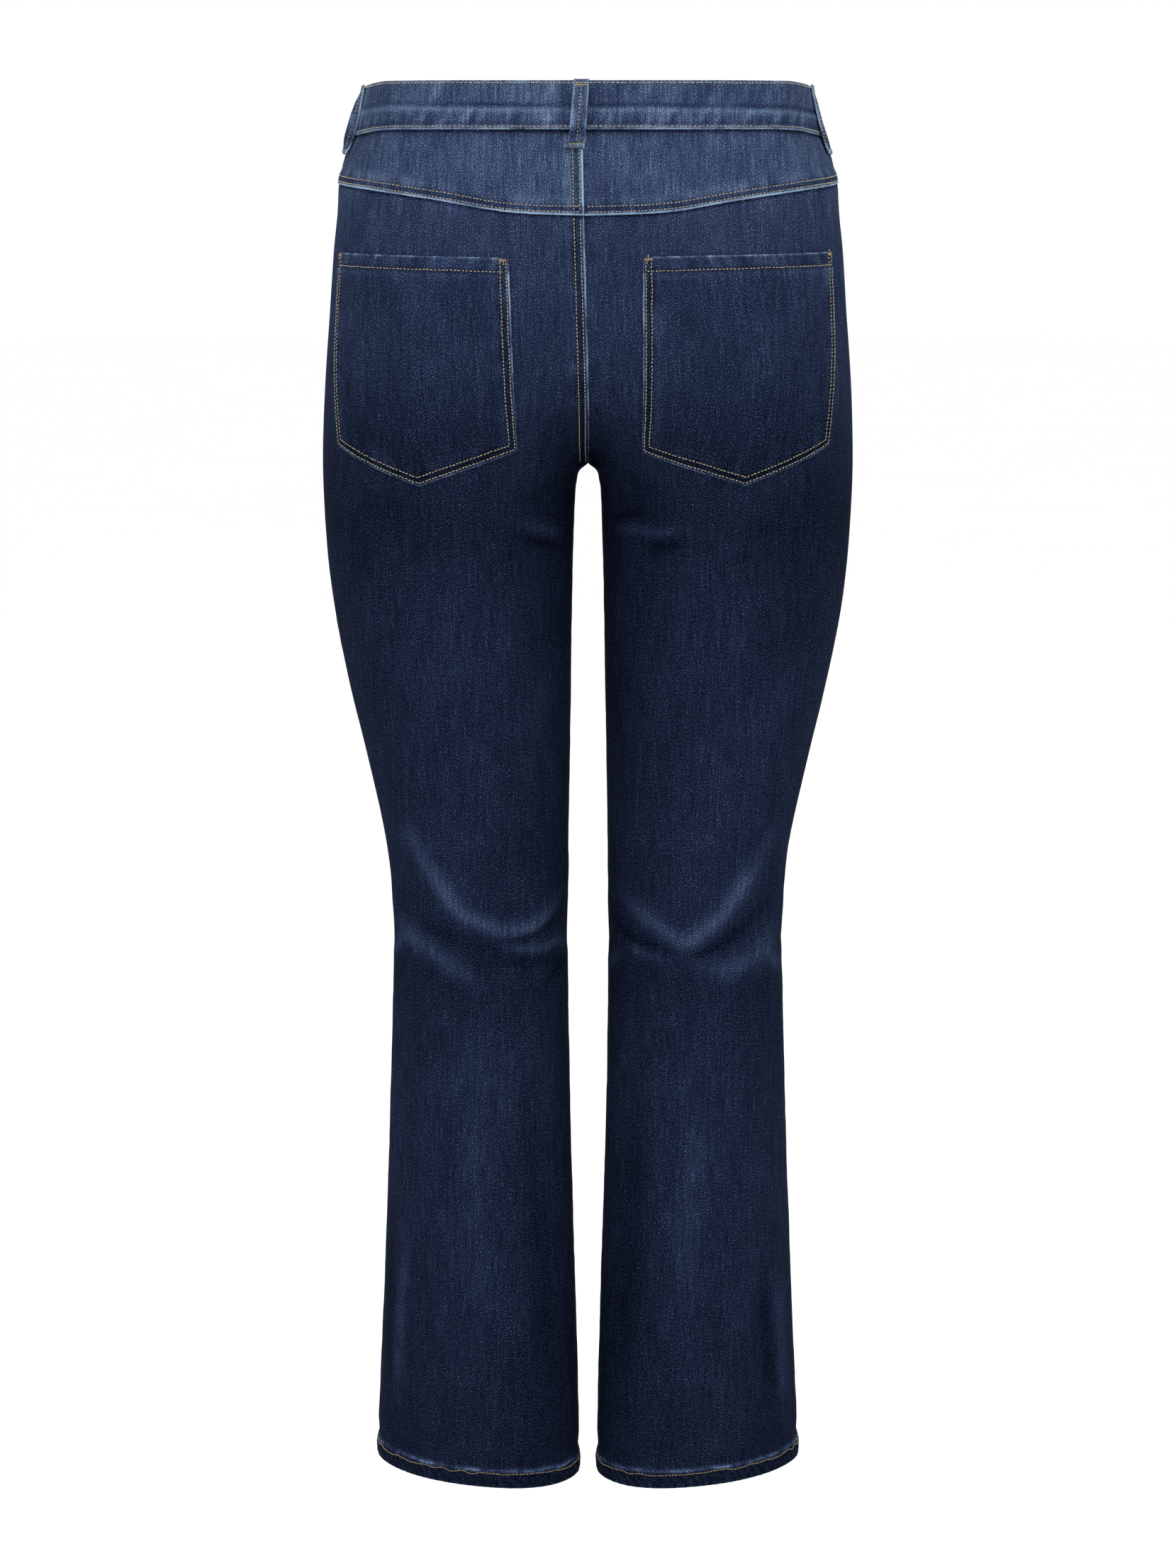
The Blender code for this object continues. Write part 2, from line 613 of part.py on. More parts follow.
def pocket_outline(pocket):
    """The pocket's corners in a flat plan: length from the side seam, and height."""
    def across(x, height):
        share = share_at("back", x * MM, height * MM)
        return length_along("back", share, height * MM)
    inner_top = across(pocket.top_x, pocket.inner_top)
    inner_low = across(pocket.bottom_x, pocket.inner_bottom)
    corners = (
        (inner_top, pocket.inner_top), (inner_top - pocket.top_width * MM, pocket.outer_top),
        (inner_low - pocket.bottom_width * MM, pocket.outer_bottom),
        (across(pocket.point_x, pocket.point), pocket.point), (inner_low, pocket.inner_bottom))
    return [Vector((length, height * MM, 0.0)) for length, height in corners]


def back_pocket(pocket, material):
    """The pocket is cut from the panel's own triangles in a flat plan, then laid back on them."""
    heights = [height * MM for height in PANEL_ROWS if height * MM >= pocket.point * MM - POCKET_MARGIN]
    shares = panel_columns()
    spots = [panel_spot(pocket.side, "back", share, height) for height in heights for share in shares]
    places = [
        Vector((length_along("back", share, height), height, 0.0)) for height in heights for share in shares]
    triangles = grid_faces(len(heights), len(shares))
    plan = bmesh.new()
    corners = [plan.verts.new(place) for place in places]
    for triangle in triangles:
        plan.faces.new([corners[index] for index in triangle])

    outline = pocket_outline(pocket)
    middle = sum(outline, Vector()) / len(outline)
    for start, end in zip(outline, outline[1:] + outline[:1]):
        along = end - start
        outwards = Vector((along.y, -along.x, 0.0)).normalized()
        if outwards.dot(middle - start) > 0.0:
            outwards.negate()
        bmesh.ops.bisect_plane(
            plan, geom=plan.verts[:] + plan.edges[:] + plan.faces[:], dist=1e-7,
            plane_co=start, plane_no=outwards, clear_outer=True)
    bmesh.ops.remove_doubles(plan, verts=plan.verts[:], dist=0.4 * MM)
    bmesh.ops.triangulate(plan, faces=plan.faces[:])
    plan.verts.index_update()
    laid = [facet_spot(places, spots, triangles, vert.co) for vert in plan.verts]
    outer = [spot.moved(SEAM_GAP + POCKET_THICKNESS) for spot in laid]
    inner = [spot.moved(SEAM_GAP) for spot in laid]
    faces = [tuple(vert.index for vert in face.verts) for face in plan.faces]
    plan.free()
    return wall_from_faces("back_pocket_" + pocket.name, outer, inner, faces, material)


def belt_loop(loop, material):
    quarter = half_length("back", 0.0)
    base = WAISTBAND_PROUD + SEAM_GAP + LOOP_THICKNESS
    course = curve_through([p.share for p in LOOP_COURSE], [p.standoff for p in LOOP_COURSE])
    grid = []
    for point in LOOP_COURSE:
        height = lerp(LOOP_TOP, LOOP_FOOT, point.share)
        flare = lerp(1.0, LOOP_FOOT_FLARE, smoothstep(FLARE_START, FLARE_END, point.share))
        row = []
        for across in (-0.5, 0.0, 0.5):
            sideways = across * LOOP_WIDTH * flare + loop.lean * point.share * 2.0
            spot = band_spot(loop.station + sideways / quarter, height)
            row.append((spot, base + loop.standoff * course(point.share), LOOP_THICKNESS))
        grid.append(row)
    return wall_from_grid("belt_loop_" + loop.name, grid, material)


def front_patch(name, top, length, left, right, inset, thickness, material):
    """A strip behind the centre-front seam, from one sideways place to another."""
    grid = []
    for row in range(FLY_ROWS + 1):
        height = top - length * row / FLY_ROWS
        points = []
        for column in range(FLY_COLUMNS + 1):
            x = lerp(left, right, column / FLY_COLUMNS)
            side = 1 if x >= 0.0 else -1
            spot = body_spot(side, "front", share_at("front", abs(x), height), height)
            points.append((spot, -CLOTH - inset, thickness))
        grid.append(points)
    return wall_from_grid(name, grid, material)


def waist_button(material):
    """A tack button: a domed cap with a rolled rim, turned about its own axis."""
    radius = BUTTON_DIAMETER / 2.0
    profile = (
        (0.0, 0.0), (0.42, 0.0), (0.50, 0.28), (0.92, 0.36), (1.0, 0.56), (0.97, 0.80), (0.86, 0.92),
        (0.76, 0.86), (0.60, 0.90), (0.0, 1.0))
    mesh = bpy.data.meshes.new("waist_button")
    turned = bmesh.new()
    verts = [turned.verts.new((r * radius, 0.0, h * BUTTON_HEIGHT)) for r, h in profile]
    edges = [turned.edges.new(pair) for pair in zip(verts, verts[1:])]
    bmesh.ops.spin(
        turned, geom=verts + edges, cent=(0.0, 0.0, 0.0), axis=(0.0, 0.0, 1.0),
        angle=math.tau, steps=20, use_merge=True)
    bmesh.ops.remove_doubles(turned, verts=turned.verts[:], dist=0.01 * MM)
    bmesh.ops.recalc_face_normals(turned, faces=turned.faces[:])
    station = BUTTON_OFFSET / half_length("front", 0.0)
    spot = band_spot(station, 0.0)
    seat = spot.moved(WAISTBAND_PROUD + SEAM_GAP)
    turned.to_mesh(mesh)
    turned.free()
    mesh.shade_smooth()
    mesh.set_sharp_from_angle(angle=math.radians(35.0))
    button = new_object("waist_button", mesh, material)
    button.location = seat
    button.rotation_mode = "QUATERNION"
    button.rotation_quaternion = spot.normal.to_track_quat("Z", "Y")
    return button


def main():
    for thing in list(bpy.data.objects):
        bpy.data.objects.remove(thing, do_unlink=True)

    denim = cloth_material("indigo_denim", (0.016, 0.032, 0.092))
    faded = cloth_material("faded_indigo_denim", (0.024, 0.048, 0.13))
    tape = cloth_material("zip_tape", (0.02, 0.03, 0.07), roughness=0.7)
    metal = cloth_material("antique_brass", (0.35, 0.26, 0.15), roughness=0.35, metallic=1.0)

    waistband(faded)
    for side, name in ((1, "left"), (-1, "right")):
        back_yoke(side, name, faded)
        back_panel(side, name, denim)
        front_panel(side, name, denim)
    for pocket in POCKETS:
        back_pocket(pocket, denim)
    for loop in LOOPS:
        belt_loop(loop, faded)
    fly_top = -WAISTBAND_HEIGHT / 2.0 - SEAM_GAP
    front_patch(
        "zip", fly_top, ZIP_LENGTH, -ZIP_WIDTH / 2.0, ZIP_WIDTH / 2.0,
        INNER_CLEARANCE, ZIP_THICKNESS, tape)
    front_patch(
        "fly_shield", fly_top, FLY_LENGTH, -0.3 * FLY_SHIELD_WIDTH, 0.7 * FLY_SHIELD_WIDTH,
        INNER_CLEARANCE + ZIP_THICKNESS + SEAM_GAP, FLY_SHIELD_THICKNESS, denim)
    waist_button(metal)


main()
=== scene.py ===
"""Flared jeans in dark stretch denim, finished on the fixed frame of their solids.

Each cut piece of cloth is a thin shell: its solid's own corner points are read as a coarse net, a smooth fine
grid is run through them, and seams, folds, puckers and fading are worked into that grid by named sizes, with
painted light and shade on creases and painted shadows beside seams and under edges.
Metres, +Z up; the front faces -Y and the wearer's left is +X.
"""

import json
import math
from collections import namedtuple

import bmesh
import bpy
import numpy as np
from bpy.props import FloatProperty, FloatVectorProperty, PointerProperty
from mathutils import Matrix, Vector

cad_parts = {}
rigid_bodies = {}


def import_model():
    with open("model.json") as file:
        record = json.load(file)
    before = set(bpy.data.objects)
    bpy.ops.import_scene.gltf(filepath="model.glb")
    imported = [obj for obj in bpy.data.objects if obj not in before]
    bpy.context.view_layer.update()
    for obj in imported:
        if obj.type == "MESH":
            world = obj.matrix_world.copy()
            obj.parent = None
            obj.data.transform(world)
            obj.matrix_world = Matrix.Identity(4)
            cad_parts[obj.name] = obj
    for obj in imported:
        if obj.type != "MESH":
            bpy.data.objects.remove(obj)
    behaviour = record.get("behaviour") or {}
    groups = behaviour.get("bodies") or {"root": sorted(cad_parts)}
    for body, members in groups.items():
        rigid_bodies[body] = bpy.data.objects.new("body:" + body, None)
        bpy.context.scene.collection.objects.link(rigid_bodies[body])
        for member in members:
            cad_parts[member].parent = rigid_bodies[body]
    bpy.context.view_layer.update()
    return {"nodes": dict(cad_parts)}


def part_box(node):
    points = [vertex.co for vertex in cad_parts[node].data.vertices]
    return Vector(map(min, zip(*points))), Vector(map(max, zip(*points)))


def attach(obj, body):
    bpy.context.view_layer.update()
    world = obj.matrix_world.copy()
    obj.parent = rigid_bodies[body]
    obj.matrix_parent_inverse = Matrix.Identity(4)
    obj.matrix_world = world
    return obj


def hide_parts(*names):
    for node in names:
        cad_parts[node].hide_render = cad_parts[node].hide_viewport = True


bl_info = {
    "name": "Flared Denim Jeans",
    "version": (1, 0, 0),
    "blender": (4, 5, 0),
    "location": "3D View > Sidebar > Jeans",
    "description": "Cuts, sews, fades and lights a pair of flared stretch denim jeans",
    "category": "Object",
}

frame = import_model()

MM = 0.001
BODY = "root"
SIDES = ((1, "left"), (-1, "right"))
CROTCH = -287.5 * MM                # height of the crotch
HEM = 11.0 * MM                     # height of the turned hem
FELL = 9.0 * MM                     # width of a seam where one piece is folded over the next
ROW_GAP = 4.4 * MM                  # between the two rows of a double-stitched seam
EDGE_ROW = 2.3 * MM                 # from a folded edge to the first row of stitches
DOUBLE_ROW = EDGE_ROW, EDGE_ROW + ROW_GAP
SEAM_GAP = 0.3 * MM                 # between the solids of neighbouring pieces
LAP = {1: 1.3 * MM, -1: 0.4 * MM}   # how far each leg's centre edge reaches over the middle
TUCK = 4.0 * MM                     # how far a top edge reaches up behind the piece above
PLUMB = 92.0 * MM                   # from the middle to where the warp hangs plumb
CROTCH_ROWS = -272.0 * MM, -312.0 * MM, 0.9 * MM    # finer rows at the crotch: from, to and spacing
SEAT_END = CROTCH + 1.5 * MM        # where the seat's stitches end
POCKET_HEM = 10.0 * MM              # depth of a pocket's turned top edge
FLY_REACH = 34.0 * MM               # from the centre seam to the fly's inner row
FLY_DEPTH = 150.0 * MM              # from the waistband to the foot of that row
BUTTONHOLE = 9.0 * MM, 30.0 * MM    # where the buttonhole starts and ends, from the band's end
BUTTONHOLE_HEIGHT = 19.0 * MM       # above the band's lower edge
BUTTON_PLACE = 14.0 * MM            # from the band's end to the middle of the button
UP = np.array([0.0, 0.0, 1.0])

# Creases ------------------------------------------
# Soft ridges (rise above 0) and troughs (below 0) pressed into the cloth, in millimetres. leg is 1 for the
# wearer's left, face is 1 for the back and -1 for the front, and the course runs over (distance from the
# middle, height), or for a crease on the outer side, whose plan is "y", over (depth, height).
Crease = namedtuple("Crease", "leg face rise width course plan", defaults=("x",))
CREASES = (
    # behind the left knee
    Crease(1, 1, 1.6, 8.0, ((144, -580), (134, -597), (111, -633), (99, -646), (69, -659), (44, -657),
                            (30, -645), (18, -632))),
    Crease(1, 1, -0.7, 5.5, ((148, -644), (117, -662), (96, -669), (76, -673))),
    Crease(1, 1, -2.1, 3.2, ((66, -667), (53, -667), (41, -663), (29, -655), (17, -637))),
    Crease(1, 1, 1.1, 4.0, ((66, -672), (53, -674), (38, -675), (16, -668))),
    Crease(1, 1, -1.0, 4.0, ((74, -682), (56, -685), (41, -687), (27, -685))),
    Crease(1, 1, -1.2, 3.5, ((31, -704), (22, -690), (15, -674))),
    Crease(1, 1, 1.4, 8.5, ((158, -648), (142, -665), (117, -683), (102, -693), (84, -702))),
    # behind the right knee
    Crease(-1, 1, 1.6, 8.0, ((22, -630), (34, -638), (58, -657), (74, -667), (84, -666), (110, -644),
                             (122, -625), (134, -608), (148, -582))),
    Crease(-1, 1, -1.6, 4.5, ((78, -680), (92, -677), (107, -670), (125, -658), (146, -638))),
    Crease(-1, 1, -1.5, 3.4, ((17, -641), (21, -654), (31, -666), (46, -670), (65, -676))),
    Crease(-1, 1, 0.8, 4.5, ((31, -674), (46, -679), (65, -685))),
    Crease(-1, 1, 1.5, 10.0, ((80, -684), (107, -691), (128, -685), (146, -672), (158, -654))),
    # under the seat
    Crease(1, 1, -2.0, 3.0, ((53, -341), (36, -347), (16, -352))),
    Crease(1, 1, 1.0, 5.0, ((58, -328), (39, -334), (19, -340))),
    Crease(-1, 1, -2.0, 3.2, ((15, -330), (27, -326), (45, -320))),
    Crease(-1, 1, -1.3, 6.0, ((49, -349), (60, -348), (74, -342))),
    Crease(-1, 1, 1.0, 5.0, ((18, -336), (39, -335), (60, -338), (76, -332))),
    Crease(1, 1, -0.4, 5.0, ((25, -291), (39, -306), (58, -312))),
    Crease(-1, 1, -0.4, 5.0, ((21, -287), (37, -300), (56, -308))),
    # long soft folds of the flare
    Crease(1, 1, 0.8, 5.0, ((147, -913), (152, -977), (156, -1048))),
    Crease(1, 1, -1.2, 5.0, ((160, -888), (164, -972), (167, -1046))),
    Crease(-1, 1, 0.9, 6.0, ((153, -947), (157, -997), (161, -1056))),
    Crease(-1, 1, -1.4, 7.0, ((143, -938), (147, -997), (150, -1050))),
    Crease(1, 1, 0.6, 12.0, ((94, -749), (90, -868), (82, -997))),
    Crease(-1, 1, 0.6, 12.0, ((86, -759), (82, -888), (76, -1017))),
    Crease(1, 1, -1.2, 11.0, ((49, -789), (39, -918), (29, -1037))),
    Crease(-1, 1, -1.4, 11.0, ((43, -769), (33, -918), (25, -1046))),
    # front: fly and crotch whiskers, knees and flare
    Crease(1, -1, 1.1, 6.0, ((22, -214), (58, -196), (104, -182), (150, -178))),
    Crease(1, -1, -1.2, 6.0, ((18, -236), (52, -222), (96, -214), (136, -216))),
    Crease(1, -1, 1.0, 7.0, ((20, -262), (54, -252), (98, -254), (140, -262))),
    Crease(-1, -1, 1.1, 6.0, ((20, -206), (62, -192), (108, -186), (146, -190))),
    Crease(-1, -1, -1.3, 6.0, ((18, -232), (50, -220), (90, -218), (128, -226))),
    Crease(-1, -1, 1.0, 7.0, ((22, -258), (60, -250), (104, -256), (144, -270))),
    Crease(1, -1, -1.3, 5.0, ((14, -318), (36, -326), (60, -342))),
    Crease(-1, -1, -1.3, 5.0, ((14, -312), (38, -322), (64, -340))),
    Crease(1, -1, 1.3, 7.0, ((146, -640), (116, -662), (84, -668), (54, -656))),
    Crease(1, -1, -1.4, 7.0, ((138, -668), (108, -686), (80, -688))),
    Crease(-1, -1, 1.3, 7.0, ((138, -630), (110, -652), (80, -670), (48, -668))),
    Crease(-1, -1, -1.4, 7.0, ((122, -662), (96, -682), (66, -690))),
    Crease(1, -1, 0.9, 12.0, ((100, -780), (108, -900), (116, -1040))),
    Crease(-1, -1, 0.9, 12.0, ((98, -770), (106, -890), (118, -1030))),
    Crease(1, -1, -1.2, 10.0, ((62, -820), (70, -930), (82, -1050))),
    Crease(-1, -1, -1.2, 10.0, ((60, -800), (72, -930), (80, -1040))),
    # outer sides: slack at the knee and below
    Crease(1, 1, 1.0, 7.0, ((6, -690), (26, -676), (48, -668)), "y"),
    Crease(1, -1, 1.0, 7.0, ((-6, -692), (-26, -684), (-46, -668)), "y"),
    Crease(-1, 1, 1.0, 7.0, ((6, -684), (28, -692), (50, -682)), "y"),
    Crease(-1, -1, 1.0, 7.0, ((-6, -682), (-28, -676), (-48, -660)), "y"),
    Crease(1, -1, -1.1, 6.0, ((-12, -720), (-30, -708), (-50, -700)), "y"),
    Crease(-1, -1, -1.1, 6.0, ((-12, -716), (-32, -706), (-52, -694)), "y"),
)

# How faded the cloth is, from 0, unwashed, to 1, worn white, at heights in millimetres from the hem up. The
# dips under the seat (-330) and at the knee (-690) are partly painted shade.
FADES_AND_SHADE = (
    (-1110, 0.20), (-1020, 0.22), (-900, 0.27), (-780, 0.29), (-690, 0.23), (-620, 0.28), (-520, 0.29),
    (-400, 0.27), (-330, 0.20), (-300, 0.24), (-230, 0.38), (-150, 0.43), (-95, 0.48), (-60, 0.55), (0, 0.60))


# Settings a user would change ---------------------
def length(name, description, default):
    return FloatProperty(name=name, description=description, default=default, min=0.0,
                         subtype="DISTANCE", unit="LENGTH", precision=5)


def share(name, description, default):
    return FloatProperty(name=name, description=description, default=default, min=0.0, max=1.0,
                         subtype="FACTOR")


def colour(name, description, code):
    return FloatVectorProperty(name=name, description=description, default=linear(code), min=0.0, max=1.0,
                               size=3, subtype="COLOR")


def linear(code):
    """An sRGB hex value as linear red, green and blue."""
    values = [int(code[i:i + 2], 16) / 255.0 for i in (1, 3, 5)]
    return tuple(v / 12.92 if v <= 0.04045 else ((v + 0.055) / 1.055) ** 2.4 for v in values)


class ClothSettings(bpy.types.PropertyGroup):
    thickness: length("Cloth", "Wall of one layer of denim", 1.6 * MM)
    band_thickness: length("Waistband", "Two layers and a stiffener", 2.2 * MM)
    pocket_thickness: length("Pocket", "Wall of a patch pocket", 1.3 * MM)
    loop_thickness: length("Belt loop", "Folded strip", 1.8 * MM)
    back_step: length("Back grid", "Spacing of the back panels' grid", 3.0 * MM)
    front_step: length("Front grid", "Spacing of the front panels' grid", 3.8 * MM)
    small_step: length("Fine grid", "Spacing of the grid on small pieces", 2.2 * MM)
    seam_step: length("Seam grid", "Spacing of the grid beside seams", 1.1 * MM)
    twill: length("Twill line", "Spacing of the diagonal lines, drawn coarser than woven so that they show",
                  1.6 * MM)
    slub: length("Slub width", "Width of the streaks of uneven warp yarn", 0.8 * MM)
    slub_length: length("Slub length", "Length of those streaks", 18.0 * MM)
    speckle: length("Speckle", "Size of the pale weft flecks, drawn coarser than woven", 0.72 * MM)
    unworn: colour("Unworn indigo", "Deepest dye", "#020409")
    dark: colour("Dark indigo", "Cloth of the legs", "#0b111f")
    middle: colour("Mid indigo", "Cloth of the seat", "#192137")
    faded: colour("Faded indigo", "Waistband and yoke", "#2f3b57")
    worn: colour("Worn edge", "Folded edges rubbed pale", "#849cb4")
    inside: colour("Wrong side", "Weft-faced inside of the cloth", "#64728d")
    inside_dark: colour("Wrong side, dark", "Shade between the inside's yarns", "#28334d")


class SewingSettings(bpy.types.PropertyGroup):
    thread: length("Thread", "Diameter of the topstitching thread", 0.88 * MM)
    stitch: length("Stitch", "Length of one stitch that shows", 2.3 * MM)
    pitch: length("Pitch", "From one stitch to the next", 2.95 * MM)
    band_pitch: length("Waistband pitch", "From one stitch to the next on the waistband", 3.5 * MM)
    tack: length("Bar tack", "Length of a bar tack", 9.0 * MM)
    tan_thread: colour("Tan thread", "Topstitching", "#968a70")
    gold_brown_thread: colour("Gold-brown thread", "Hems", "#75663f")
    tack_thread: colour("Tack thread", "Bar tacks", "#84704f")


class MetalSettings(bpy.types.PropertyGroup):
    button: length("Button", "Diameter of the tack button", 17.0 * MM)
    brass: colour("Aged brass", "Button, teeth and slider", "#9c7e50")
    tooth: length("Zip tooth", "Height of one tooth", 1.1 * MM)
    tooth_pitch: length("Zip pitch", "From one tooth to the next on one side", 2.0 * MM)


class StageSettings(bpy.types.PropertyGroup):
    distance: length("Camera distance", "From the camera to the middle of the waist", 4.8)
    lens: FloatProperty(name="Lens", description="Focal length", default=135.86, min=1.0, unit="CAMERA")
    pitch: FloatProperty(name="Pitch", description="How far the camera looks down",
                         default=math.radians(5.855), subtype="ANGLE", unit="ROTATION")
    height: FloatProperty(name="Camera height", description="Above the middle of the waistband",
                          default=-56.5 * MM, subtype="DISTANCE", unit="LENGTH")
    floor: FloatProperty(name="Floor", description="Height of the floor under the hanging jeans",
                         default=-1.30, subtype="DISTANCE", unit="LENGTH")
    floor_colour: colour("Floor", "Pale studio floor", "#ffffff")
    sky: colour("Studio", "Pale light from all round", "#ffffff")
    sky_strength: share("Studio strength", "Strength of the light from all round", 1.0)
    key_power: FloatProperty(name="Side lights", description="Power of each large side light",
                             default=24.0, min=0.0, unit="POWER")
    top_power: FloatProperty(name="Top light", description="Power of the light overhead", default=34.0,
                             min=0.0, unit="POWER")


# Reading a solid's face as a net ------------------
MERGE = 1e-6
RIM_ANGLE = math.radians(60.0)      # a wall's face and its rim meet more sharply than this
CROTCH_ANGLE = math.radians(41.0)   # and this on the front panels, whose rim twists at the crotch


def outer_patch(mesh, rim_angle):
    """The faces of a wall's outer side: of its two largest smooth patches, the one that looks outwards."""
    left, patches = set(mesh.faces), []
    while left:
        patch = [left.pop()]
        for face in patch:
            for edge in face.edges:
                if edge.calc_face_angle(math.pi) < rim_angle:
                    for other in edge.link_faces:
                        if other in left:
                            left.remove(other)
                            patch.append(other)
        patches.append(patch)

    def outwards(patch):
        return sum(f.calc_area() * f.normal.xy.dot(f.calc_center_median().xy) for f in patch)
    return max(sorted(patches, key=len)[-2:], key=outwards)


Wall = namedtuple("Wall", "near first_row first_column last_row last_column")


def towards(x, y, z):
    """Picks the corner that lies furthest in a direction."""
    return Vector((x, y, z)).dot


def nearest_to(x, y, z):
    """Picks the corner nearest to a place."""
    return lambda point: -(point - Vector((x, y, z))).length


def open_wall(mesh, corners, rim_angle):
    """How the points of a wall's outer face join up, and the four sides of its rim. corners picks the start
    and end of its first row, then of its last."""
    patch = outer_patch(mesh, rim_angle)
    inside = set(patch)
    points = {v for face in patch for v in face.verts}
    near = {v: {edge.other_vert(v) for edge in v.link_edges} & points for v in points}
    rim = {}
    for face in patch:
        for edge in face.edges:
            if sum(f in inside for f in edge.link_faces) == 1:
                a, b = edge.verts
                rim.setdefault(a, []).append(b)
                rim.setdefault(b, []).append(a)
    start, across, down, far = [max(rim, key=lambda v: pick(v.co)) for pick in corners]

    def side(begin, end):
        for here in rim[begin]:
            path = [begin, here]
            while path[-1] not in (start, across, down, far):
                path.append(next(v for v in rim[path[-1]] if v != path[-2]))
            if path[-1] == end:
                return path
    return Wall(near, side(start, across), side(start, down), side(down, far), side(across, far))


def node_mesh(node):
    """A node's solid, with the points that its faces share made one."""
    mesh = bmesh.new()
    mesh.from_mesh(frame["nodes"][node].data)
    bmesh.ops.remove_doubles(mesh, verts=mesh.verts[:], dist=MERGE)
    mesh.normal_update()
    return mesh


def coordinates(verts):
    """Where a mesh's points are, as an array."""
    return np.array([tuple(v.co) for v in verts])


def between(wanted, places, points):
    """Points at wanted places along a line that is given by its points at known places."""
    return np.stack([np.interp(wanted, places, values) for values in points.T], axis=-1)


def along_side(side, wanted):
    """Points of a side of the rim at shares of its length."""
    points = coordinates(side)
    places = path_lengths(points)
    return between(wanted * places[-1], places, points)


def wall_net(node, corners, rim_angle=RIM_ANGLE):
    """A node's outer face as rows of its own points, stepped out from its first row and first column. Only
    the last row may lack points, where the solid's edge is straight, and it takes the shares of the row
    before."""
    mesh = node_mesh(node)
    wall = open_wall(mesh, corners, rim_angle)
    rows = [wall.first_row]
    for begin in wall.first_column[1:-1]:
        row, above = [begin], rows[-1]
        for left, right in zip(above, above[1:]):
            (found,) = (wall.near[right] & wall.near[row[-1]]) - {left}
            row.append(found)
        rows.append(row)
    net = np.array([coordinates(row) for row in rows])
    shares = path_lengths(net[-1])
    last = along_side(wall.last_row, shares / shares[-1])
    if len(wall.last_row) == len(last):
        last = coordinates(wall.last_row)
    mesh.free()
    return np.concatenate([net, last[None]])


def strip_net(node, corners, rows=9, columns=3):
    """A narrow node's outer face as a net spanned between its four sides."""
    mesh = node_mesh(node)
    wall = open_wall(mesh, corners, RIM_ANGLE)
    u, v = np.linspace(0.0, 1.0, columns), np.linspace(0.0, 1.0, rows)
    top, bottom = along_side(wall.first_row, u)[None], along_side(wall.last_row, u)[None]
    left, right = along_side(wall.first_column, v)[:, None], along_side(wall.last_column, v)[:, None]
    mesh.free()
    u, v = u[None, :, None], v[:, None, None]
    level = (1 - u) * ((1 - v) * top[:, :1] + v * bottom[:, :1]) + u * (
        (1 - v) * top[:, -1:] + v * bottom[:, -1:])
    return (1 - v) * top + v * bottom + (1 - u) * left + u * right - level


def smooth_through(places, values, wanted):
    """Values at the wanted places of a smooth curve through values, along their first axis."""
    step = np.diff(places)
    slope = np.diff(values, axis=0) / step.reshape(-1, *[1] * (values.ndim - 1))
    before, after = step[:-1].reshape(-1, 1, 1), step[1:].reshape(-1, 1, 1)
    middle = (slope[:-1] * after + slope[1:] * before) / (before + after)
    tangent = np.concatenate([slope[:1], middle, slope[-1:]])
    i = np.clip(np.searchsorted(places, wanted, side="right") - 1, 0, len(places) - 2)
    wide = step[i].reshape(-1, 1, 1)
    t = ((wanted - places[i]) / step[i]).reshape(-1, 1, 1)
    return (values[i] * (1 + 2 * t) * (1 - t) ** 2 + tangent[i] * wide * t * (1 - t) ** 2
            + values[i + 1] * t * t * (3 - 2 * t) + tangent[i + 1] * wide * t * t * (t - 1))


def places_of(net):
    """Mean distance of each row of a net from the first."""
    steps = np.linalg.norm(np.diff(net, axis=0), axis=2).mean(axis=1)
    return np.concatenate([[0.0], np.cumsum(steps)])


def spaced(total, step, fine, first, last, close=()):
    """Places from 0 to total a step apart, and finer over the first and last stretches and in each (start,
    end, size) of close."""
    places, here = [], 0.0
    for start, end, size in ((0.0, first, fine), *close, (total - last, total, fine)):
        for low, high, gap in ((here, start, step), (start, end, size)):
            if high - low > MERGE:
                count = max(1, round((high - low) / gap))
                places += [low + (high - low) * k / count for k in range(count)]
        here = end
    return np.array(places + [total])


# The waist's sides by height, in millimetres: the share of the drop, and how far they stand out.
SIDE_DROP = 4.2
DROP_SHARE = (-58.0, 0.0), (-22.0, 1.0)
STAND_OUT = (-48.0, 0.0), (-38.0, 0.0), (-28.0, 4.0), (-19.0, 6.0), (0.0, 3.4), (14.0, 0.0)


def settled(points):
    """The waist as it settles at its sides: it hangs a little lower, and its lower edge stands out."""
    x, z = np.abs(points[..., 0]) / MM, points[..., 2] / MM
    drop = SIDE_DROP * np.clip((x - 160.0) / 25.0, 0.0, 1.4) ** 1.4 * np.interp(z, *zip(*DROP_SHARE))
    out = np.interp(z, *zip(*STAND_OUT))
    out *= np.clip((x - 140.0) / 40.0, 0.0, 1.0) ** 1.5 * bell(points[..., 1] + 5.0 * MM, 27.0 * MM)
    moved = points.copy()
    moved[..., 0] += np.sign(points[..., 0]) * out * MM
    moved[..., 2] -= drop * MM
    return moved


def unit(vectors):
    """Vectors of length 1."""
    return vectors / np.maximum(np.linalg.norm(vectors, axis=-1, keepdims=True), 1e-12)


def running(points, axis):
    """Distance along an axis of a grid of points, from its first row or column."""
    steps = np.linalg.norm(np.diff(points, axis=axis), axis=2)
    along = np.cumsum(steps, axis=axis)
    return np.concatenate([np.zeros_like(along.take([0], axis=axis)), along], axis=axis)


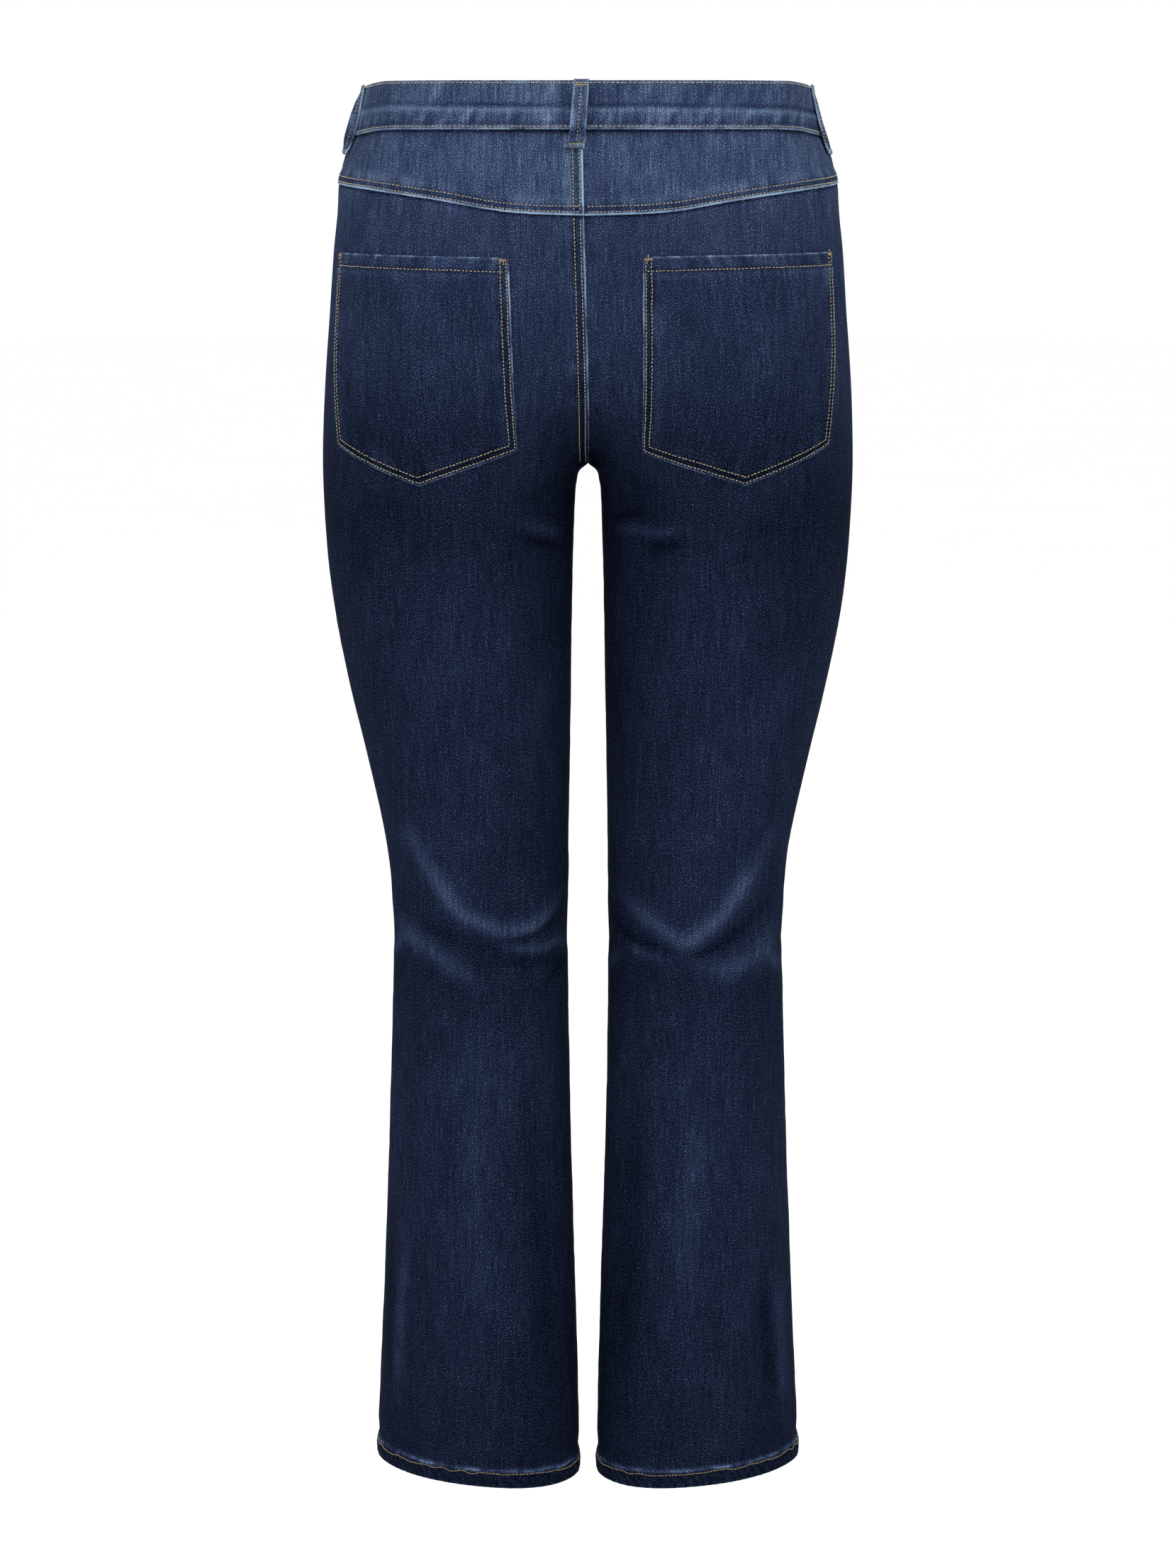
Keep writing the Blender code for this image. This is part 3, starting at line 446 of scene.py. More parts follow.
class Cloth:
    """A fine grid on a piece's outer face: columns run across the piece and rows down it."""

    def __init__(self, points):
        self.points = points
        self.base = points.copy()
        self.across = running(points, 1)
        self.down = running(points, 0)
        self.normals = self.look_outwards()
        # the cloth's fading, with painted light and shade of creases, seams and edges worked into it
        self.fade = np.zeros(points.shape[:2])
        self.wear = np.zeros(points.shape[:2])
        self.grain = self.across, -self.down    # where each point lies on the cloth: across and along warp

    @classmethod
    def on(cls, net, step, fine, edges=(0.0, 0.0, 0.0, 0.0), close=()):
        """A cloth on a net. edges are the stretches with a fine grid: top, bottom, first column, last column.
        close lists more fine rows, as (upper height, lower height, size)."""
        rows = places_of(net)
        heights = net[:, :, 2].mean(axis=1)
        close = [(*np.interp((-upper, -lower), -heights, rows), size) for upper, lower, size in close]
        net = smooth_through(rows, settled(net), spaced(rows[-1], step, fine, edges[0], edges[1], close))
        net = net.transpose(1, 0, 2)
        columns = places_of(net)
        net = smooth_through(columns, net, spaced(columns[-1], step, fine, edges[2], edges[3]))
        return cls(net.transpose(1, 0, 2))

    def look_outwards(self):
        """Outward directions of the points. turned says whether the grid runs the other way round."""
        normals = unit(np.cross(np.gradient(self.points, axis=1), np.gradient(self.points, axis=0)))
        self.turned = (normals[..., :2] * self.points[..., :2]).sum() < 0.0
        return -normals if self.turned else normals

    def lift(self, rise):
        """Moves the outer face out by a rise for each point, in metres."""
        self.points = self.points + self.normals * rise[..., None]

    def straighten(self, reach):
        """Lays the warp so that it hangs plumb at a distance from the middle, as the piece was cut."""
        plumb = [np.interp(-reach, -np.abs(row), along) if row[0] * row[0] > row[-1] * row[-1] else
                 np.interp(reach, np.abs(row), along)
                 for row, along in zip(self.base[..., 0], self.across)]
        self.grain = self.across - np.array(plumb)[:, None], self.base[..., 2]

    def overlap(self, distance, share=1.0, reach=7.0 * MM):
        """Moves the last columns across the middle, to lie over the neighbour's edge."""
        away = np.clip(self.from_last() / reach, 0.0, 1.0)
        self.points[..., 0] -= np.sign(self.base[:, :1, 0]) * distance * share * (1.0 - away) ** 2

    def settle(self):
        """Finds the outward directions again, once the points have been moved."""
        self.normals = self.look_outwards()

    def tuck(self):
        """Raises the top row, to lie behind the piece above."""
        self.points[0, :, 2] += TUCK

    def from_first(self):
        return self.across

    def from_last(self):
        return self.across[:, -1:] - self.across

    def from_middle(self):
        """Sideways distance from the last column, as seen from behind."""
        return np.abs(self.base[..., 0] - self.base[:, -1:, 0])

    def from_top(self):
        return self.down

    def from_bottom(self):
        return self.down[-1:] - self.down

    def area(self):
        """Area of the cloth laid flat."""
        wide = np.diff(self.across, axis=1)
        tall = np.diff(self.down, axis=0)
        return float((wide[1:] * tall[:, 1:]).sum())

    def patches(self, seed, wide, tall=math.inf):
        """Unevenness in patches of a width and a height in millimetres, or in stripes down the cloth."""
        return uneven(seed, self.across / (wide * MM), self.down / (tall * MM))

    def across_at(self, x, height):
        """Distance across the piece, in its row nearest to a height, at a distance x from the middle."""
        row = int(np.abs(self.base[:, 0, 2] - height).argmin())
        xs = np.abs(self.base[row, :, 0])
        reach = int(xs.argmin()) + 1
        return np.interp(-x, -xs[:reach], self.across[row, :reach])

    def at(self, across, height):
        """Point and outward direction at distances across the piece and heights of its level rows."""
        levels = self.base[:, 0, 2]
        place = np.interp(-np.asarray(height), -levels, np.arange(len(levels)))
        row = np.clip(place.astype(int), 0, len(levels) - 2)
        part = (place - row)[..., None]
        found = []
        for grid in (self.points, self.normals):
            upper, lower = self.in_row(grid, row, across), self.in_row(grid, row + 1, across)
            found.append(upper * (1 - part) + lower * part)
        return found[0], unit(found[1])

    def in_row(self, grid, row, across):
        """A grid's values in the given rows, at distances across the piece."""
        across = np.broadcast_to(across, row.shape)
        out = np.empty(row.shape + (3,))
        for index in np.unique(row):
            here = row == index
            out[here] = between(across[here], self.across[index], grid[index])
        return out

    def row_path(self, distance, start=0.0, end=0.0, bottom=False):
        """Points along the piece at a distance below its top edge, or above its bottom edge."""
        wanted = self.down[-1] - distance if bottom else np.full(self.down.shape[1], distance)
        points, normals = [], []
        for column in range(self.down.shape[1]):
            place = np.interp(wanted[column], self.down[:, column], np.arange(self.down.shape[0]))
            row = min(int(place), self.down.shape[0] - 2)
            part = place - row
            for grid, out in ((self.points, points), (self.normals, normals)):
                out.append(grid[row, column] * (1 - part) + grid[row + 1, column] * part)
        return trimmed(Path(np.array(points), unit(np.array(normals))), start, end)

    def column_path(self, distance, start=0.0, end=0.0, last=False):
        """Points down the piece at a distance from its first column, or sideways from its last."""
        points, normals = [], []
        sideways = self.from_middle()
        for row in range(self.across.shape[0]):
            reach = np.interp(distance, sideways[row, ::-1], self.across[row, ::-1]) if last else distance
            for grid, out in ((self.points, points), (self.normals, normals)):
                out.append(between(reach, self.across[row], grid[row]))
        return trimmed(Path(np.array(points), unit(np.array(normals))), start, end)


Path = namedtuple("Path", "points normals")


def trimmed(path, start, end):
    """A path without its first and last stretches."""
    along = path_lengths(path.points)
    keep = (along >= start) & (along <= along[-1] - end)
    return Path(path.points[keep], path.normals[keep])


def path_lengths(points):
    """Distance of each point of a path from its first, along the path."""
    return np.concatenate([[0.0], np.cumsum(np.linalg.norm(np.diff(points, axis=0), axis=1))])


# Unevenness ---------------------------------------
LATTICE = 64


def uneven(seed, x, y=0.0):
    """Smooth seeded unevenness from -1 to 1, whose bumps are about one unit of x and y wide."""
    table = np.random.default_rng(seed).uniform(-1.0, 1.0, (LATTICE, LATTICE))
    x, y = np.broadcast_arrays(np.asarray(x, float), np.asarray(y, float))
    i, j = np.floor(x).astype(int), np.floor(y).astype(int)
    u, v = x - i, y - j
    u, v = u * u * (3 - 2 * u), v * v * (3 - 2 * v)

    def corner(di, dj):
        return table[(i + di) % LATTICE, (j + dj) % LATTICE]
    return ((corner(0, 0) * (1 - u) + corner(1, 0) * u) * (1 - v)
            + (corner(0, 1) * (1 - u) + corner(1, 1) * u) * v)


def bell(distance, width):
    """1 at no distance, and close to 0 from about two widths on."""
    return np.exp(-(distance / width) ** 2)


def step_down(distance, edge, soft):
    """1 within an edge, 0 beyond it, with a soft step between."""
    return 0.5 - 0.5 * np.tanh((distance - edge) / soft)


def puckers(seed, along, away, reach=7.0 * MM, pitch=8.5 * MM):
    """Little bumps that stand in a row beside a seam, -1 to 1, and die out away from it."""
    return uneven(seed, along / pitch, away / (3.0 * reach)) * np.exp(-away / reach)


CREASE_TAPER = 0.3                  # share of a crease's course over which each end dies out
RIDGE_PAINTED_LIGHT = 0.19                   # how much painted light a ridge gets for each millimetre that it stands out
TROUGH_PAINTED_SHADE = 0.12                  # how much painted shade a trough gets for each millimetre that it dips
PAINTED_TONE_WIDTH = 7.5                    # creases wider than this, in millimetres, get less painted light and shade


def nearest_on(course, flat, height):
    """Each point's distance from a course, and the share of the course at which it is nearest."""
    nearest, along = np.full(height.shape, 1e3), np.zeros(height.shape)
    last = len(course) - 1
    for k in range(last):
        (x0, z0), (dx, dz) = course[k], course[k + 1] - course[k]
        part = np.clip(((flat - x0) * dx + (height - z0) * dz) / (dx * dx + dz * dz), 0.0, 1.0)
        distance = np.hypot(flat - x0 - dx * part, height - z0 - dz * part)
        closer = distance < nearest
        nearest = np.where(closer, distance, nearest)
        along = np.where(closer, (k + part) / last, along)
    return nearest, along


def crease_rise(cloth, leg, face):
    """How far the creases lift a leg panel, and the painted highlight on their ridges and painted shade in
    their troughs.
    """
    rise, crease_light_and_shade = np.zeros(cloth.across.shape), np.zeros(cloth.across.shape)
    for crease in CREASES:
        if (crease.leg, crease.face) != (leg, face):
            continue
        from_middle = crease.plan == "x"
        flat = np.abs(cloth.base[..., 0]) if from_middle else cloth.base[..., 1]
        looks = np.abs(cloth.normals[..., 1 if from_middle else 0])
        nearest, along = nearest_on(np.array(crease.course) * MM, flat, cloth.base[..., 2])
        ends = np.clip(np.minimum(along, 1.0 - along) / CREASE_TAPER, 0.0, 1.0)
        swell = (0.35 + 0.65 * ends * ends * (3 - 2 * ends)) * np.clip((looks - 0.15) / 0.3, 0.0, 1.0)
        pressed = bell(nearest, crease.width * MM)
        rise += crease.rise * MM * pressed * swell
        # painted light: a ridge is painted lighter and a trough darker, as light would fall on them
        painted_tone = (RIDGE_PAINTED_LIGHT if crease.rise > 0.0 else TROUGH_PAINTED_SHADE) * np.clip(crease.rise, -1.3, 1.5)
        crease_light_and_shade += painted_tone * min(1.0, PAINTED_TONE_WIDTH / crease.width) * pressed * swell
    return rise, np.clip(crease_light_and_shade, -0.2, 0.26)


def fade_and_shade_at(height):
    """How faded the cloth is at a height, with the painted shade of the table's dips."""
    heights, fades = zip(*FADES_AND_SHADE)
    return np.interp(height, np.array(heights) * MM, fades)


# Making meshes ------------------------------------
ROUND = 0.32                        # share of a wall's thickness that its rounded edge takes
MEET = 0.25 * MM                    # how far an edge's middle reaches into the seam, to meet its neighbour


def deselect():
    """Leaves nothing selected, before an operator adds an object."""
    bpy.ops.object.select_all(action="DESELECT")


def grid_quads(rows, columns, turned):
    """The faces of a grid, as indices of its points."""
    index = np.arange(rows * columns).reshape(rows, columns)
    quads = np.stack([index[:-1, :-1], index[:-1, 1:], index[1:, 1:], index[1:, :-1]], axis=-1)
    quads = quads.reshape(-1, 4)
    return quads if turned else quads[:, ::-1]


def rim_loop(rows, columns):
    """Indices of a grid's rim in order."""
    index = np.arange(rows * columns).reshape(rows, columns)
    return np.concatenate([index[0, :-1], index[:-1, -1], index[-1, :0:-1], index[:0:-1, 0]])


def pulled_in(points, distance):
    """A grid whose rim is pulled towards its neighbours by a distance, along the cloth, or pushed out where
    the distance is below 0."""
    points = points.copy()
    for lines in (points, points.swapaxes(0, 1)):
        for edge, beside in ((0, 1), (-1, -2)):
            way = lines[beside] - lines[edge]
            size = np.linalg.norm(way, axis=-1, keepdims=True)
            lines[edge] += way / np.maximum(size, 1e-9) * np.minimum(distance, 0.45 * size)
    return points


def cloth_piece(name, cloth, thickness, looks, flip):
    """A closed thin shell with rounded edges from a cloth's grid, with its UV map in metres of cloth. looks
    are the materials of its right side and its wrong side, and flip is -1 to mirror the map."""
    rows, columns = cloth.points.shape[:2]
    thick = np.broadcast_to(thickness, (rows, columns))[..., None]
    middle = cloth.points - cloth.normals * thick * 0.5
    pulled = pulled_in(cloth.points, ROUND * float(np.max(thick)))
    outer = pulled.reshape(-1, 3)
    inner = (pulled - cloth.normals * thick).reshape(-1, 3)
    rim = rim_loop(rows, columns)
    edge = pulled_in(middle, -MEET).reshape(-1, 3)[rim]
    quads = grid_quads(rows, columns, cloth.turned)
    count, ring = rows * columns, len(rim)
    here, after = np.arange(ring), (np.arange(ring) + 1) % ring
    middle_here, middle_after = 2 * count + here, 2 * count + after
    rims = np.concatenate([
        np.stack([rim[after], rim[here], middle_here, middle_after], axis=-1),
        np.stack([middle_after, middle_here, count + rim[here], count + rim[after]], axis=-1)])
    if not cloth.turned:
        rims = rims[:, ::-1]
    faces = np.concatenate([quads, quads[:, ::-1] + count, rims])
    points = np.concatenate([outer, inner, edge])

    mesh = bpy.data.meshes.new(name)
    mesh.from_pydata(points.tolist(), [], faces.tolist())
    for look in looks:
        mesh.materials.append(look)
    slots = np.zeros(len(faces), np.int32)
    slots[len(quads):2 * len(quads)] = 1
    mesh.polygons.foreach_set("material_index", slots)
    flat = np.stack([cloth.grain[0] * flip, cloth.grain[1]], axis=-1).reshape(-1, 2)
    flat = np.concatenate([flat, flat, flat[rim]])
    uv = mesh.uv_layers.new(name="cloth")
    corners = np.empty(len(mesh.loops), np.int32)
    mesh.loops.foreach_get("vertex_index", corners)
    uv.data.foreach_set("uv", flat[corners].ravel())
    for key, values in (("fade", cloth.fade), ("wear", cloth.wear)):
        flat_values = values.reshape(-1)
        attribute = mesh.attributes.new(key, "FLOAT", "POINT")
        attribute.data.foreach_set("value", np.concatenate([flat_values, flat_values, flat_values[rim]]))
    mesh.shade_smooth()
    mesh.update()
    return new_piece(name, mesh)


def added(add, name, **how):
    """The object that an operator adds, under a name."""
    deselect()
    add(**how)
    made = bpy.context.object
    made.name = made.data.name = name
    return made


def new_piece(name, mesh, material=None):
    """A piece of the jeans from a mesh."""
    piece = bpy.data.objects.new(name, mesh)
    bpy.context.scene.collection.objects.link(piece)
    if material is not None:
        mesh.materials.append(material)
    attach(piece, BODY)
    return piece


# Materials ----------------------------------------
TWILL_ANGLE = math.radians(60.0)    # of the diagonal lines, from the weft


def set_inputs(tree, node, links):
    """Gives each input of a node a value, or an output to link to it."""
    for socket, value in links.items():
        if isinstance(value, bpy.types.NodeSocket):
            tree.links.new(value, node.inputs[socket])
        else:
            node.inputs[socket].default_value = value


def add_node(tree, kind, links=None, **settings):
    """Adds a node with its settings and its inputs."""
    made = tree.nodes.new(kind)
    for name, value in settings.items():
        setattr(made, name, value)
    set_inputs(tree, made, links or {})
    return made


def once(build):
    """Lets a function that sets up nodes be called with a material's name, and builds each material once."""
    def make(name, *how):
        made = bpy.data.materials.get(name)
        if made is None:
            made = bpy.data.materials.new(name)
            made.use_nodes = True
            build(made.node_tree, *how)
        return made
    return make


def set_shader(tree, links, bump=None):
    """Sets the shader's inputs, and its bump from (height, strength, depth)."""
    if bump:
        made = add_node(tree, "ShaderNodeBump", dict(zip(("Height", "Strength", "Distance"), bump)))
        links = {**links, "Normal": made.outputs[0]}
    set_inputs(tree, tree.nodes["Principled BSDF"], links)


def math_node(tree, operation, a, b=0.0, clamp=False):
    """The result of a sum on two values or outputs."""
    links = {0: a, 1: b}
    return add_node(tree, "ShaderNodeMath", links, operation=operation, use_clamp=clamp).outputs[0]


def ramp(tree, value, stops):
    """A colour ramp through (place, linear colour) stops."""
    made = add_node(tree, "ShaderNodeValToRGB", {0: value})
    elements = made.color_ramp.elements
    while len(elements) < len(stops):
        elements.new(0.5)
    for element, (place, code) in zip(elements, stops):
        element.position = place
        element.color = (*code, 1.0)
    return made.outputs["Color"]


def noise(tree, vector, size, detail=1.0, rough=0.5):
    """Noise from 0 to 1 on a vector in metres, with its spacing given as one or three sizes."""
    sizes = size if isinstance(size, tuple) else (size, size, size)
    scaled = add_node(tree, "ShaderNodeVectorMath", {0: vector, 1: tuple(1.0 / s for s in sizes)},
                      operation="MULTIPLY")
    made = add_node(tree, "ShaderNodeTexNoise", {
        "Vector": scaled.outputs[0], "Scale": 1.0, "Detail": detail, "Roughness": rough})
    return made.outputs["Fac"]


def weave(tree, cloth):
    """The weave, which both sides of the cloth share: its UV map, in metres of cloth across the piece and up
    it, and on that map the warp's streaks, the pale weft flecks and the twill lines, bent by the flecks."""
    flat = add_node(tree, "ShaderNodeUVMap", uv_map="cloth").outputs[0]
    slub = noise(tree, flat, (cloth.slub, cloth.slub_length, 1.0), 2.0, 0.6)
    fleck = noise(tree, flat, (cloth.speckle, cloth.speckle * 1.5, 1.0), 1.0, 0.8)
    step = math.tau / cloth.twill
    across = add_node(tree, "ShaderNodeVectorMath", {
        0: flat, 1: (math.sin(TWILL_ANGLE) * step, -math.cos(TWILL_ANGLE) * step, 0.0)},
        operation="DOT_PRODUCT")
    bent = math_node(tree, "MULTIPLY", fleck, 2.2)
    line = math_node(tree, "SINE", math_node(tree, "ADD", across.outputs["Value"], bent))
    return flat, slub, fleck, line


def weighted(tree, start, parts):
    """start plus each value's difference from its middle, times a weight."""
    total = start
    for value, middle, weight in parts:
        away = math_node(tree, "SUBTRACT", value, middle)
        part = add_node(tree, "ShaderNodeMath", {0: away, 1: weight, 2: total}, operation="MULTIPLY_ADD")
        total = part.outputs[0]
    return total


@once
def denim_outside(tree, cloth):
    """Rope-dyed 3x1 twill, warp side out: indigo warp over pale weft, which shows as flecks where rubbed.
    Matt: the loose fibres keep all but a trace of shine off it."""
    flat, slub, fleck, line = weave(tree, cloth)
    broad = noise(tree, flat, (cloth.slub * 4.5, cloth.slub_length * 3.5, 1.0), 2.0, 0.6)
    blotch = noise(tree, flat, (34.0 * MM, 55.0 * MM, 1.0), 2.0)
    # this attribute carries the cloth's fading together with painted light and shade: highlights on crease
    # ridges, shade in troughs, shadows along seams and under edges
    fade = add_node(tree, "ShaderNodeAttribute", attribute_name="fade").outputs["Fac"]
    wear = add_node(tree, "ShaderNodeAttribute", attribute_name="wear").outputs["Fac"]
    # the darker the cloth, the more each fleck stands out from it
    depth = add_node(tree, "ShaderNodeMath", {0: fade, 1: -2.6, 2: 2.5}, operation="MULTIPLY_ADD").outputs[0]
    depth = math_node(tree, "SUBTRACT", depth, math_node(tree, "MULTIPLY", wear, 2.6))
    depth = math_node(tree, "MAXIMUM", depth, 0.15)
    value = weighted(tree, fade, (
        (fleck, 0.5, depth), (slub, 0.5, 0.45), (broad, 0.5, 0.19), (blotch, 0.5, 0.12), (line, 0.0, 0.05)))
    # folded edges are rubbed pale, a little unevenly
    lumps = weighted(tree, 0.78, ((fleck, 0.5, 0.5),))
    rubbed = math_node(tree, "MULTIPLY", wear, lumps, clamp=True)
    value = math_node(tree, "ADD", value, rubbed, clamp=True)
    colour_out = ramp(tree, value, (
        (0.0, cloth.unworn), (0.22, cloth.dark), (0.42, cloth.middle),
        (0.64, cloth.faded), (1.0, cloth.worn)))
    raised = weighted(tree, 0.0, ((line, 0.0, 0.35), (fleck, 0.5, 0.8), (slub, 0.5, 0.4)))
    set_shader(tree, {"Base Color": colour_out, "Roughness": 0.9, "IOR": 1.12, "Specular IOR Level": 0.1},
               (raised, 0.16, 0.18 * MM))


@once
def denim_inside(tree, cloth):
    """The twill's wrong side: mostly pale weft with indigo warp between, so paler and flatter."""
    _, slub, fleck, line = weave(tree, cloth)
    value = weighted(tree, 0.55, ((slub, 0.5, 0.25), (fleck, 0.5, 0.9), (line, 0.0, 0.06)))
    colour_out = ramp(tree, value, ((0.15, cloth.inside_dark), (0.85, cloth.inside)))
    set_shader(tree, {"Base Color": colour_out, "Roughness": 0.9, "Specular IOR Level": 0.2},
               (fleck, 0.4, 0.2 * MM))


@once
def thread_material(tree, colour_in):
    """Corespun polyester topstitching thread: a soft shine, and slightly uneven shade from ply to ply."""
    place = add_node(tree, "ShaderNodeTexCoord").outputs["Object"]
    shade = noise(tree, place, 2.6 * MM, 2.0)
    dark = tuple(channel * 0.52 for channel in colour_in)
    light = tuple(min(1.0, channel * 1.25) for channel in colour_in)
    ply = noise(tree, place, 0.35 * MM, 1.0)
    set_shader(tree, {"Base Color": ramp(tree, shade, ((0.3, dark), (0.7, light))), "Roughness": 0.55,
                      "Sheen Weight": 0.15}, (ply, 0.4, 0.1 * MM))


@once
def aged_brass(tree, colour_in):
    """Stamped brass, antiqued: darker in the hollows and rubbed bright on the crests."""
    place = add_node(tree, "ShaderNodeTexCoord").outputs["Object"]
    tarnish = noise(tree, place, 1.6 * MM, 3.0)
    dark = tuple(channel * 0.35 for channel in colour_in)
    rough = add_node(tree, "ShaderNodeMapRange", {"Value": tarnish, 3: 0.28, 4: 0.52}).outputs[0]
    set_shader(tree, {"Base Color": ramp(tree, tarnish, ((0.35, dark), (0.62, colour_in))),
                      "Metallic": 1.0, "Roughness": rough}, (tarnish, 0.15, 0.1 * MM))


@once
def zip_tape_material(tree, cloth):
    """Woven polyester zip tape, navy, with a fine rib along its length."""
    place = add_node(tree, "ShaderNodeTexCoord").outputs["Object"]
    rib = add_node(tree, "ShaderNodeTexWave", {
        "Vector": place, "Scale": 1.0 / (math.tau * 0.18 * MM) * 0.35, "Distortion": 0.4})
    colour_out = ramp(tree, rib.outputs["Fac"], ((0.2, cloth.unworn), (0.8, cloth.dark)))
    set_shader(tree, {"Base Color": colour_out, "Roughness": 0.7}, (rib.outputs["Fac"], 0.3, 0.1 * MM))


@once
def floor_paper(tree, colour_in):
    """Matt paper, a trace darker in patches."""
    place = add_node(tree, "ShaderNodeTexCoord").outputs["Object"]
    tint = noise(tree, place, 0.9, 2.0)
    dark = tuple(channel * 0.995 for channel in colour_in)
    set_shader(tree, {"Base Color": ramp(tree, tint, ((0.3, dark), (0.7, colour_in))), "Roughness": 0.9,
                      "Specular IOR Level": 0.1})


# Stitches -----------------------------------------
BAND_STITCH = 2.9 * MM              # lengths of one stitch, where a seam's differs from the setting
LOOP_STITCH = 2.2 * MM
POCKET_STITCH = 2.3 * MM
HEM_STITCH = 2.7 * MM
LOOP_PITCH = 3.0 * MM               # from one stitch to the next
POCKET_PITCH = 2.9 * MM
POCKET_HEM_PITCH = 3.1 * MM
HEM_PITCH = 2.75 * MM
TACK_PITCH = 0.62 * MM


def stitch_shape(thread, size):
    """One stitch: a capsule along X whose ends dip into the cloth, as points and faces."""
    deselect()
    bpy.ops.mesh.primitive_uv_sphere_add(segments=6, ring_count=5, radius=0.5)
    ball = bpy.context.object
    mesh = ball.data
    points = coordinates(mesh.vertices)[:, [2, 0, 1]]
    faces = [tuple(p.vertices) for p in mesh.polygons]
    bpy.data.objects.remove(ball, do_unlink=True)
    bpy.data.meshes.remove(mesh)
    length_wise = np.sign(points[:, 0]) * np.abs(points[:, 0] * 2.0) ** 0.6 * 0.5
    dip = thread * 0.9 * (2.0 * length_wise) ** 4
    points = np.stack([length_wise * size, points[:, 1] * thread, points[:, 2] * thread - dip], axis=-1)
    return points, faces


class Sewing:
    """Gathers the stitches of one piece of sewing and makes one mesh of them."""

    def __init__(self, size=None):
        self.settings = settings().sewing
        self.size = size or self.settings.stitch
        self.shape, self.faces = stitch_shape(self.settings.thread, self.size)
        self.points = []

    def place(self, at, way, normal, scale=1.0):
        """Adds one stitch for each place, lying along way on the cloth."""
        way = unit(way - normal * (way * normal).sum(axis=-1, keepdims=True))
        aside = np.cross(normal, way)
        shape = self.shape * np.array([scale, 1.0, 1.0])
        laid = (at[:, None] + shape[None, :, :1] * way[:, None] + shape[None, :, 1:2] * aside[:, None]
                + (shape[None, :, 2:] + self.settings.thread * 0.22) * normal[:, None])
        self.points.append(laid.reshape(-1, 3))

    def row(self, path, pitch=None, wander=0.12 * MM, seed=1):
        """A row of stitches along a path. wander is how far it strays sideways."""
        along = path_lengths(path.points)
        pitch = pitch or self.settings.pitch
        count = int((along[-1] - self.size) / pitch)
        if count < 1:
            return
        centres = (along[-1] - (count - 1) * pitch) / 2.0 + pitch * np.arange(count)
        centres = centres + uneven(seed + 7, centres / pitch * 1.7) * 0.12 * pitch
        at, normal = between(centres, along, path.points), unit(between(centres, along, path.normals))
        way = unit(between(centres + 1.0 * MM, along, path.points)
                   - between(centres - 1.0 * MM, along, path.points))
        aside = np.cross(normal, way)
        at = at + aside * (uneven(seed, centres / (9.0 * MM)) * wander)[:, None]
        lean = uneven(seed + 3, centres / pitch * 0.9)[:, None] * 0.10
        self.place(at, way + aside * lean, normal)

    def tack(self, at, way, normal, size, width=1.7 * MM):
        """A bar tack: close zigzag stitches across a short bar."""
        way = unit(way - normal * (way * normal).sum())
        aside = np.cross(normal, way)
        turns = max(6, int(size / TACK_PITCH))
        steps = np.linspace(-0.5, 0.5, turns)[:, None] * size
        zigzag = np.where(np.arange(turns) % 2 == 0, 1.0, -1.0)[:, None]
        places = at + way * steps + normal * 0.15 * MM
        ways = aside + way * zigzag * 0.35
        self.place(places, ways, np.repeat(normal[None], turns, axis=0), scale=width / self.size)

    def end(self, at, way, normal, size, seed):
        """A loose end of thread, left as a short curl."""
        steps = 5
        rng = np.random.default_rng(seed)
        for _ in range(steps):
            way = unit(way + rng.uniform(-0.5, 0.5, 3))
            way = unit(way - normal * (way * normal).sum())
            piece = size / steps
            middle = at + way * piece / 2.0 + normal * 0.25 * MM
            self.place(middle[None], way[None], normal[None], scale=piece / self.size * 1.15)
            at = at + way * piece

    def finish(self, name, thread="tan_thread"):
        """Makes the mesh of all the stitches, in a thread that the settings name."""
        points = np.concatenate(self.points)
        count = len(points) // len(self.shape)
        faces = [tuple(k + copy * len(self.shape) for k in face)
                 for copy in range(count) for face in self.faces]
        mesh = bpy.data.meshes.new(name)
        mesh.from_pydata(points.tolist(), [], faces)
        mesh.shade_smooth()
        new_piece(name, mesh, thread_material(thread, getattr(self.settings, thread)))


# Pieces -------------------------------------------
MADE = {}                           # the cloths by name, for what is sewn on them


def settings():
    """The sizes and colours that the sidebar shows."""
    return bpy.context.scene.jeans


def declare(piece, cloth, node):
    """Hides the node that a piece stands for, and works out the piece's flat size, which is not kept."""
    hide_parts(node)
    wide, tall = float(cloth.across.max()), float(cloth.down.max())
    area = min(cloth.area(), wide * tall)


def lay(cloth, node, thickness, flip=1):
    """Makes a node's piece in denim, and keeps its cloth for what is sewn on it."""
    dye = settings().cloth
    looks = denim_outside("indigo_denim_right_side", dye), denim_inside("indigo_denim_wrong_side", dye)
    declare(cloth_piece(f"{node}_cloth", cloth, thickness, looks, flip), cloth, node)
    MADE[node] = cloth


def drape(cloth, seed, depth=0.45 * MM):
    """Slight broad unevenness, longer down the piece than across it."""
    return depth * (cloth.patches(seed, 46.0, 120.0) + 0.35 * cloth.patches(seed + 1, 17.0, 34.0))


